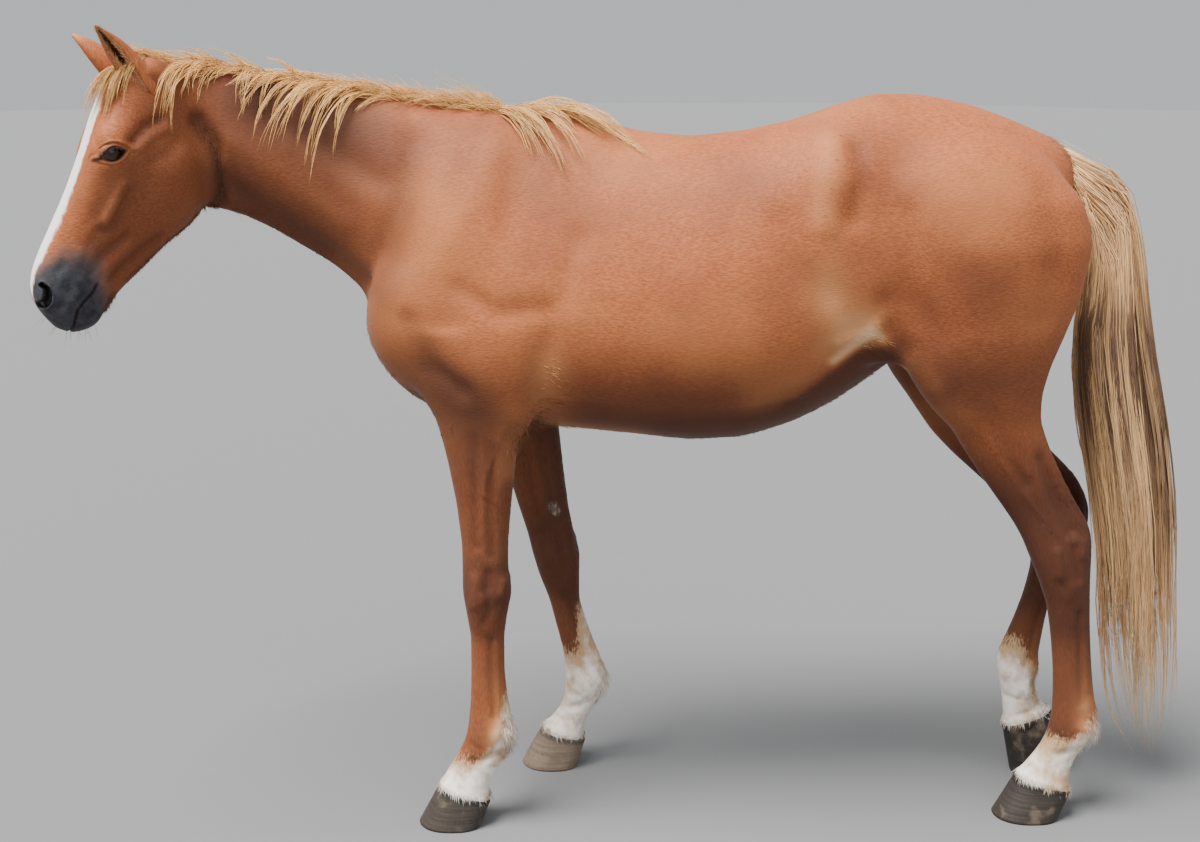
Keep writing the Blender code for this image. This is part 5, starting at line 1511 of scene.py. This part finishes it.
def hair_piece(name, groups, coat, shape, draw, replaced, deep_at):
    """Makes the strands of several groups of guides and joins them. The shape is a
    strand's width, its rows, how much of it may be missing and how far it waves."""
    rings, tones, deeps = [], [], []
    width, rows, short, wave = shape
    for guides, outs, each, spread in groups:
        made, share, which = strands(guides, outs, each, spread, short, width, rows, draw, wave)
        rings.append(made)
        lock = draw.random(len(guides))[which]
        tones.append(np.clip(0.5 * lock + 0.6 * draw.random(len(which)) - 0.05, 0, 1))
        deeps.append(deep_at(made[:, :, 1], share, lock))
    rings = np.concatenate(rings)
    values = {"tone": np.concatenate(tones), "deep": np.concatenate(deeps)}
    joined(name, rings, values, coat, root_patches(rings[:, 0, 1]), replaced)


def root_shade(places, share, lock):
    """Darker at the roots and in some of the locks."""
    return np.clip(0.35 * smooth_step(0.20, 0.0, share) + 0.22 * (lock[:, None] > 0.85), 0, 1)


def forelock_shade(places, share, lock):
    """Warmer all through than the mane."""
    return np.clip(root_shade(places, share, lock) + 0.12, 0, 1)


draw = np.random.default_rng(5)
groups = mane_guides(MANE_FALLS, draw)
off, near = (0.0018, 11, 0.5, 0.0018), (0.0013, 11, 0.5, 0.0018)
hair_piece("mane_off_side", groups[:2], mane_hair, off, draw, "mane", root_shade)
hair_piece("mane_near_side", groups[2:], mane_hair, near, draw, None, root_shade)

# ---------------------------------------------------------------------------------------
# The forelock. Finer flaxen hair from the poll between the ears, blown to the near side
# over the forehead.
# ---------------------------------------------------------------------------------------
count = 170
down = -0.012 + 0.050 * draw.random(count)
aside = -0.004 + 0.020 * draw.normal(size=count)
front = np.interp(down, (-0.02, 0.01, 0.05), (0.020, 0.048, 0.070))
places = np.stack([down, aside, front], axis=1)
roots = from_head(places)
aim_down = 0.7 + 0.15 * draw.normal(size=count)
aim_aside = -0.25 - 0.45 * draw.random(count) + 5 * aside
aims = np.stack([aim_down, aim_aside, 0.50 + 0.15 * draw.normal(size=count)], axis=1)
ways = from_head(places + 0.01 * aims) - roots
lengths = 0.075 + 0.085 * draw.random(count) ** 2
guides = fallen(roots, ways, lengths, 0.09 + 0.07 * draw.random(count), 0.008)
outs = unit(from_head(places + (0, 0, 0.01)) - roots)
locks, shape = [(guides, outs, 8, 0.0060)], (0.0010, 10, 0.5, 0.0018)
hair_piece("forelock_hair", locks, mane_hair, shape, draw, "forelock", forelock_shade)

# ---------------------------------------------------------------------------------------
# The tail. Long flaxen hair from the top and sides of the dock, brown in its under layers,
# hanging clear of the hocks and thinning out to single wisps near the ground.
# ---------------------------------------------------------------------------------------
# Height, front and back edge, half width.
TAIL = (
    (0.085, 1.262, 1.300, 0.010),
    (0.130, 1.200, 1.322, 0.022),
    (0.210, 1.170, 1.330, 0.036),
    (0.340, 1.150, 1.324, 0.050),
    (0.460, 1.143, 1.308, 0.060),
    (0.600, 1.130, 1.300, 0.068),
    (0.740, 1.106, 1.288, 0.073),
    (0.850, 1.082, 1.273, 0.073),
    (0.970, 1.062, 1.249, 0.070),
    (1.080, 1.056, 1.226, 0.065),
    (1.200, 1.072, 1.205, 0.056),
    (1.330, 1.072, 1.182, 0.046),
    (1.420, 1.052, 1.150, 0.036),
    (1.475, 1.020, 1.108, 0.026),
)
tail_coat = hair_material("flaxen tail", (0.95, 0.62, 0.29), (0.66, 0.34, 0.14), BROWN)
TAIL_TABLE = eased(TAIL, 0.03)


def tail_guides(count, inner, outer, low, high, draw):
    """From roots on the dock, eased over the first part of the drop to a place of their own
    in the tail's section, and down to tips at random heights."""
    share = draw.random(count) ** 0.8
    angle = draw.uniform(-np.pi, np.pi, count)
    reach = inner + (outer - inner) * np.sqrt(draw.random(count))
    u, v = 0.5 + 0.5 * reach * np.cos(angle), reach * np.sin(angle)
    share = np.clip(0.55 * share + 0.45 * (1 - u) - 0.06, 0, 1) * 0.92
    spot = share * (len(DOCK) - 1)
    columns = [np.interp(spot, np.arange(len(DOCK)), column) for column in np.array(DOCK).T]
    root = np.stack(columns, axis=1)
    thin = np.interp(root[:, 2], (1.215, 1.478), (0.010, 0.028))
    wide, deep = np.sin(angle * 0.7), np.cos(angle * 0.7)
    root += thin[:, None] * np.stack([0.85 * deep, wide, 0.4 * deep], axis=1)
    tip = low + (high - low) * draw.random(count) ** 1.4
    run = np.linspace(0, 1, 26)[None] ** 1.15
    height = root[:, 2:] + (tip - root[:, 2])[:, None] * run
    front, back, half = (np.interp(height, TAIL_TABLE[0], column) for column in TAIL_TABLE[1])
    there = np.stack([front + (back - front) * u[:, None], half * v[:, None], height], axis=-1)
    drop = (root[:, 2:] - height) / (0.07 + 0.20 * share[:, None])
    ease = smooth_step(0, 1, drop)[..., None]
    lean = np.stack([0.25 * (root[:, 2:] - height), 0 * height, 0 * height], axis=-1)
    above = [root[:, :1] + 0 * height, root[:, 1:2] + 0 * height, height]
    start = np.stack(above, axis=-1) + lean
    outs = np.stack([np.cos(angle), np.sin(angle), 0 * angle], axis=1)
    sway = draw.normal(size=(2, count, 1)) * 0.007 * run
    phase = draw.random((2, count, 1))
    sway = sway * np.sin(TURN * (phase + run * draw.uniform(0.6, 2.2, (2, count, 1))))
    there[..., 0] += sway[0]
    there[..., 1] += sway[1]
    return start * (1 - ease) + there * ease, outs


def tail_shade(places, share, lock):
    """Brown under layers in the middle of the tail, strongest behind and in some locks."""
    height, back = places[..., 2], places[..., 0]
    behind = 0.45 * bell(height - 0.62 - 0.9 * (back - 1.20), 0.20)
    middle = bell(height - 0.98, 0.24) + behind * smooth_step(1.19, 1.27, back)
    return np.clip(1.2 * middle * smooth_step(0.05, 0.75, lock)[:, None], 0, 0.95)


def deep_shade(places, share, lock):
    """Brown almost all through, but for the ends."""
    height = places[..., 2]
    middle = smooth_step(0.45, 0.85, height) * smooth_step(1.30, 1.12, height)
    return np.clip(middle * (0.4 + 0.6 * lock[:, None]), 0, 1)


# Each layer: its locks, where in the tail's section they hang (0 the middle, 1 the edge),
# the heights of their tips, the hairs in a lock and its spread, a hair's shape, its shade,
# and what it replaces.
TAIL_LAYERS = {
    "tail_under_layer": (
        *((140, 0.05, 0.80, 0.30, 0.90), (14, 0.0075), (0.0024, 15, 0.40, 0.006)),
        *(deep_shade, "tail_hair"),
    ),
    "tail_outer_layer": (
        *((165, 0.75, 1.0, 0.22, 0.78), (14, 0.0070), (0.0021, 14, 0.38, 0.006)),
        *(tail_shade, None),
    ),
    "tail_ends": (
        *((56, 0.30, 0.99, 0.075, 0.30), (9, 0.0050), (0.0018, 18, 0.12, 0.005)),
        *(tail_shade, None),
    ),
}
for name, (hang, lock, shape, shade, replaced) in TAIL_LAYERS.items():
    guides, outs = tail_guides(*hang, draw)
    hair_piece(name, [(guides, outs, *lock)], tail_coat, shape, draw, replaced, shade)

# ---------------------------------------------------------------------------------------
# The coat's tufts. Short summer hair lies flat as bump on the hide. Where it breaks the
# form, at jaw, throat, chest, belly, flanks, backs of the limbs, fetlocks, coronets and
# ear rims, it stands out in fine mesh tufts of the same markings.
# ---------------------------------------------------------------------------------------
TUFT_ROWS, TUFT_SUNK = 4, 0.0012
HEAD_WAY = unit(from_head(np.array([[0.4, 0, 0]])) - from_head(np.array([[0.3, 0, 0]])))[0]


def lie_of(points, normals):
    """The way the hair lies: down the face, back along trunk and neck, down the limbs, all
    of it turned flat to the skin."""
    places, straight = on_head(points), unbend(points)
    on_face = (smooth_step(-0.02, 0.06, places[:, 0]) * (points[:, 0] < HEAD_BEGINS))[:, None]
    limb = smooth_step(1.00, 0.82, points[:, 2])[:, None]
    neck = smooth_step(-0.30, -0.60, straight[:, 0])[:, None]
    cheek = smooth_step(0.0, -0.10, places[:, 2])[:, None]
    face_way = HEAD_WAY + cheek * np.array([0.9, 0, -0.1])
    body_way = np.array([1.0, 0, -0.30]) + neck * np.array([-0.15, 0, -0.35])
    body_way = body_way * (1 - limb) + limb * np.array([0.18, 0, -1.0])
    way = on_face * face_way + (1 - on_face) * body_way
    return unit(way - normals * (way * normals).sum(axis=1, keepdims=True))


def coat_unwrap(points):
    """The skin's own unwrap: along the body from muzzle to dock by the turn about its
    middle, with a strip of its own for each leg."""
    places, straight = on_head(points), unbend(points)
    on_face = (places[:, 0] > 0) & (points[:, 0] < HEAD_BEGINS)
    along = np.where(on_face, -0.95 - places[:, 0], straight[:, 0])
    round_head = np.arctan2(places[:, 1], places[:, 2] + 0.04)
    turn = np.where(on_face, round_head, np.arctan2(points[:, 1], points[:, 2] - 1.2))
    flat = np.stack([(along + 1.56) / 2.75, 0.02 + 0.52 * (turn / (2 * np.pi) + 0.5)], axis=1)
    for number, name in enumerate(LEGS):
        forward, across = leg_place(points, name)[:2]
        own = along_leg(points, name, 0.03)[1] & (points[:, 2] < 0.85)
        round_leg = np.arctan2(across, forward) / (2 * np.pi) + 0.5
        leg = np.stack([points[:, 2] / 0.87, 0.56 + 0.11 * (number + 0.94 * round_leg)], axis=1)
        flat[own] = leg[own]
    return flat


def tufts(name, roots, normals, ways, lengths, width, stand, marks):
    """Closed three-sided spikes that leave the skin at a slant, length times the way and
    stand times the normal, and bend back along it by the square of the share."""
    share = np.linspace(0, 1, TUFT_ROWS)[None, :, None]
    size, stand, out = lengths[:, None, None], stand[:, None, None], normals[:, None]
    rise = out * stand * (share - 0.45 * share**2)
    line = roots[:, None] + size * (ways[:, None] * share + rise) - out * TUFT_SUNK
    aside = unit(np.cross(ways, normals))[:, None]
    girth = width[:, None, None] * np.interp(share, (0, 0.35, 1), (0.8, 1.0, 0.10))
    corners = [line - aside * girth / 2, line + out * girth * 0.28, line + aside * girth / 2]
    rings = np.stack(corners, axis=2)
    joined(name, rings, marks, coat_tufts, coat_unwrap(roots), None)


JAW_EDGE = ((0.232, -0.205), (0.286, -0.185), (0.356, -0.144), (0.429, -0.106))
CHEEK_EDGE = ((0.070, -0.110), (0.106, -0.160), (0.150, -0.200), (0.220, -0.220))
THROAT_TO_CHEST = (
    *((-0.860, 1.380), (-0.760, 1.330), (-0.640, 1.250)),
    *((-0.520, 1.120), (-0.470, 1.000)),
)
BELLY_LINE = (
    *((-0.160, 0.880), (0.050, 0.835), (0.250, 0.825)),
    *((0.450, 0.870), (0.600, 0.980)),
)
# Places where the coat stands out: how much denser, longer (metres) and steeper it is, its
# reach and its line, seen from the side.
HEAD_FRINGES = (
    (6.0, 0.008, 0.30, 0.016, JAW_EDGE),
    (9.0, 0.012, 0.60, 0.011, ((0.470, -0.090), (0.500, -0.084))),
    (3.0, 0.004, 0.35, 0.016, CHEEK_EDGE),
    (2.5, 0.002, 0.30, 0.016, ((0.150, 0.008), (0.098, -0.032))),
)
BODY_FRINGES = (
    (2.4, 0.006, 0.22, 0.030, THROAT_TO_CHEST),
    (2.2, 0.006, 0.22, 0.030, ((-0.420, 0.960), (-0.340, 0.900))),
    (5.0, 0.010, 0.35, 0.025, BELLY_LINE),
    (5.0, 0.008, 0.50, 0.022, ((0.545, 1.080), (0.580, 1.095), (0.605, 1.075))),
    (4.0, 0.008, 0.45, 0.030, ((-0.180, 0.860), (-0.110, 0.960), (-0.100, 1.030))),
    (3.0, 0.006, 0.40, 0.025, ((1.070, 1.400), (1.095, 1.250), (1.060, 1.080), (1.010, 0.960))),
    (4.0, 0.006, 0.50, 0.020, ((0.940, 1.560), (1.020, 1.470))),
)


def fringed(flat, fringes):
    """Density, added length and steepness near the fringes."""
    near = [bell(distance_to(flat, line), reach) for *_, reach, line in fringes]
    rows = list(zip(fringes, near))
    return [sum(fringe[part] * share for fringe, share in rows) for part in range(3)]


def coat_piece(name, chosen, count, density, length, stand, width, draw):
    """Draws places over the chosen faces by area and density, and grows a tuft on each."""
    weights = face_sizes[chosen] * density
    picked = draw.choice(np.flatnonzero(chosen), count, p=weights / weights.sum())
    index = np.searchsorted(np.flatnonzero(chosen), picked)
    corners = hide_points[face_corners[picked]]
    share = draw.dirichlet(np.ones(3), count)
    roots = (corners * share[..., None]).sum(axis=1)
    normals = face_normals[picked]
    ways = unit(lie_of(roots, normals) + 0.22 * draw.normal(size=(count, 3)))
    ways = unit(ways - normals * (ways * normals).sum(axis=1, keepdims=True))
    lengths = length[index] * (0.7 + 0.6 * draw.random(count))
    marks = coat_marks(roots)
    marks["white"] = marks["white"] + 0.004 * draw.normal(size=count)
    marks["pale"] = np.clip(marks["pale"] + 0.10 * draw.normal(size=count) + 0.04, 0, 1)
    widths = width * (0.7 + 0.6 * draw.random(count))
    tufts(name, roots, normals, ways, lengths, widths, stand[index], marks)


coat_tufts = coat_material("coat tufts", 0.0)
body_count = sum(1 for face in hide_faces if max(face) < ear_inside[0][0])
face_corners = np.array([face[:3] for face in hide_faces[:body_count]])
first, second, third = (hide_points[face_corners[:, corner]] for corner in range(3))
face_normals = np.cross(second - first, third - first)
triangles = np.array([len(face) - 2 for face in hide_faces[:body_count]])
face_sizes = np.linalg.norm(face_normals, axis=1) * triangles
face_normals = unit(face_normals)
middles = (first + second + third) / 3
places, straight = on_head(middles), unbend(middles)
head_faces = (places[:, 0] > 0.015) & (middles[:, 0] < HEAD_BEGINS)
limb_faces = ~head_faces & (middles[:, 2] < 0.80)
trunk_faces = ~head_faces & ~limb_faces
HEAD_TUFTS, TRUNK_TUFTS, LIMB_TUFTS = 9800, 9900, 9900
draw = np.random.default_rng(11)

flat = places[head_faces][:, [0, 2]]
denser, longer, steeper = fringed(flat, HEAD_FRINGES)
clear = smooth_step(1.6, 2.0, lid_spread(flat)[0])
clear = clear * smooth_step(0.016, 0.022, distance_to(flat, NOSTRIL_SLIT))
lips_clear = smooth_step(0.004, 0.008, distance_to(flat, MOUTH_LINE))
clear *= np.where(flat[:, 0] > 0.45, lips_clear, 1)
face_fine = smooth_step(0.10, 0.40, flat[:, 0])
density, length = clear * (1 + denser), 0.0085 - 0.005 * face_fine + longer
coat_piece("coat_head", head_faces, HEAD_TUFTS, density, length, 0.10 + steeper, 0.0009, draw)

flat = straight[trunk_faces][:, [0, 2]]
denser, longer, steeper = fringed(flat, BODY_FRINGES)
density, length = 1 + denser, 0.012 + longer
coat_piece("coat_trunk", trunk_faces, TRUNK_TUFTS, density, length, 0.09 + steeper, 0.0014, draw)

spots = middles[limb_faces]
behind, fetlock, coronet = (np.zeros(len(spots)) for _ in range(3))
for name in LEGS:
    ahead, own = along_leg(spots, name, 0.02)
    behind[own] = smooth_step(-0.3, -0.8, ahead)[own]
    fetlock[own] = (bell(spots[:, 2] - 0.21, 0.05) * smooth_step(-0.2, -0.8, ahead))[own]
    coronet[own] = bell(over_coronet(spots, name) - 0.007, 0.010)[own]
fine = smooth_step(0.75, 0.35, spots[:, 2])
density = 1 + 1.5 * behind + 8 * fetlock + 16 * coronet
length = 0.010 - 0.004 * fine + 0.004 * behind + 0.022 * fetlock + 0.012 * coronet
stand = 0.09 + 0.15 * behind + 0.40 * fetlock + 0.30 * coronet
coat_piece("coat_limbs", limb_faces, LIMB_TUFTS, density, length, stand, 0.0012, draw)

# Ear rims, lashes and feelers are single hairs of the same kind: how many there are on
# each edge of an ear, on each upper lid and on the muzzle.
EDGE_HAIRS, LASHES, FEELERS = 520, 90, 150
hairs = []
free = slice(4, -2)
for side, root, tip in EARS:
    rings = ear_points(side, root, tip)
    middle = rings[free].mean(axis=1)
    upward = unit(np.gradient(rings.mean(axis=1), axis=0))[free]
    for here, there in ((0, EAR_POINTS - 1), (EAR_POINTS - 1, 0)):
        edge, other = rings[free, here], rings[free, there]
        pick = draw.integers(0, len(edge), EDGE_HAIRS)
        inward, outward = unit(other - edge)[pick], unit(edge - middle)[pick]
        stray = 0.0012 * draw.normal(size=(EDGE_HAIRS, 3))
        spots = edge[pick] + stray - 0.001 * outward
        way = upward[pick] * 0.9 + inward * (0.8 * draw.random((EDGE_HAIRS, 1)) - 0.1)
        way = unit(way + 0.15 * draw.normal(size=(EDGE_HAIRS, 3)))
        length = 0.006 + 0.009 * draw.random(EDGE_HAIRS)
        stand = 0.15 + 0.2 * draw.random(EDGE_HAIRS)
        hairs.append((spots, outward, way, length, stand, 0.70, 0.0))
for side in (-1, 1):
    turn = draw.uniform(-0.85, 0.85, LASHES)
    lid_along = 1.02 * LIDS_HALF * np.sin(turn * 1.2)
    lid_up = 1.04 * UPPER_LID * np.cos(turn * 1.2) ** 0.8
    down = LIDS_AT[0] + lid_along * LIDS_ALONG[0] - lid_up * LIDS_ALONG[1]
    front = LIDS_AT[1] + lid_along * LIDS_ALONG[1] + lid_up * LIDS_ALONG[0]
    lash, tip = (
        from_head(np.stack([down, np.full(LASHES, side * (EYE_AT[1] + out)), front], axis=1))
        for out in (0.018, 0.028)
    )
    out = unit(tip - lash)
    way = unit(HEAD_WAY * 0.55 + out * 0.9 + 0.12 * draw.normal(size=(LASHES, 3)))
    length = 0.010 + 0.006 * draw.random(LASHES)
    hairs.append((lash, out, way, length, np.full(LASHES, 0.3), 0.0, 0.9))
muzzle = head_faces & (places[:, 0] > 0.47) & (places[:, 2] < 0.03)
pick = draw.choice(np.flatnonzero(muzzle & (np.abs(places[:, 1]) > 0.006)), FEELERS)
out = face_normals[pick]
way = unit(out + 0.5 * HEAD_WAY + 0.3 * draw.normal(size=(FEELERS, 3)))
length = 0.012 + 0.028 * draw.random(FEELERS) ** 2
hairs.append((middles[pick], out, way, length, np.full(FEELERS, 0.1), 0.0, 0.75))

roots, normals, ways, lengths, stands = (
    np.concatenate([group[part] for group in hairs]) for part in range(5)
)
pale, black = (
    np.concatenate([np.full(len(group[0]), group[part]) for group in hairs]) for part in (5, 6)
)
none = np.zeros(len(roots))
marks = {"white": none + NO_WHITE, "grey": none + NO_GREY, "pale": pale}
marks.update({"dark": none + 0.1, "lie": none + 1, "black": black})
widths = np.where(black > 0.3, 0.0006, 0.0010)
tufts("ear_rims_and_lashes", roots, normals, ways, lengths, widths, stands, marks)

# ---------------------------------------------------------------------------------------
# The studio: a plain floor, a wide soft light from above and in front of the horse, a weak
# one beside the camera, and a camera at the eye level of a person standing by.
# ---------------------------------------------------------------------------------------
floor_mesh = bpy.data.meshes.new("floor")
corners = [(-60, -20, 0), (60, -20, 0), (60, 300, 0), (-60, 300, 0)]
floor_mesh.from_pydata(corners, [], [(0, 1, 2, 3)])
floor = new_object("floor", floor_mesh)
floor_paint = bpy.data.materials.new("floor")
floor_paint.use_nodes = True
floor_shader = floor_paint.node_tree.nodes["Principled BSDF"]
floor_shader.inputs["Base Color"].default_value = (0.1615, 0.1644, 0.1688, 1)
floor_shader.inputs["Roughness"].default_value = 0.8
floor_mesh.materials.append(floor_paint)
floor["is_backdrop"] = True


def soft_light(name, towards, power, spread, colour):
    """A wide, even light from one direction."""
    lamp = bpy.data.lights.new(name, "SUN")
    lamp.energy, lamp.angle, lamp.color = power, math.radians(spread), colour
    made = new_object(name, lamp)
    made.location = (0, 0, 4)
    made.rotation_euler = Vector(towards).to_track_quat("Z", "Y").to_euler()


soft_light("key", (-0.42, -0.28, 1.0), 9.9, 34, (1.0, 0.98, 0.95))
soft_light("fill", (0.6, -1.0, 0.7), 0.9, 60, (0.95, 0.98, 1.0))
world = bpy.data.worlds.new("studio")
world.use_nodes = True
backdrop = world.node_tree.nodes["Background"]
backdrop.inputs["Color"].default_value = (0.96, 0.98, 1.0, 1)
backdrop.inputs["Strength"].default_value = 0.60
bpy.context.scene.world = world

CAMERA_OFF, EYE_LEVEL, LOOKS_DOWN = 3.30, 1.60, 8.27
camera = new_object("camera", bpy.data.cameras.new("camera"))
camera.location = (SHIFT[0], SHIFT[1] - CAMERA_OFF, EYE_LEVEL)
camera.rotation_euler = (math.radians(90 - LOOKS_DOWN), 0, 0)
camera.data.lens, camera.data.sensor_width = 45, 36
camera.data.shift_y = -0.09
bpy.context.scene.camera = camera

sizes = {"cad": CAD_BOX, "visual": [list(corner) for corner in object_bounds()]}
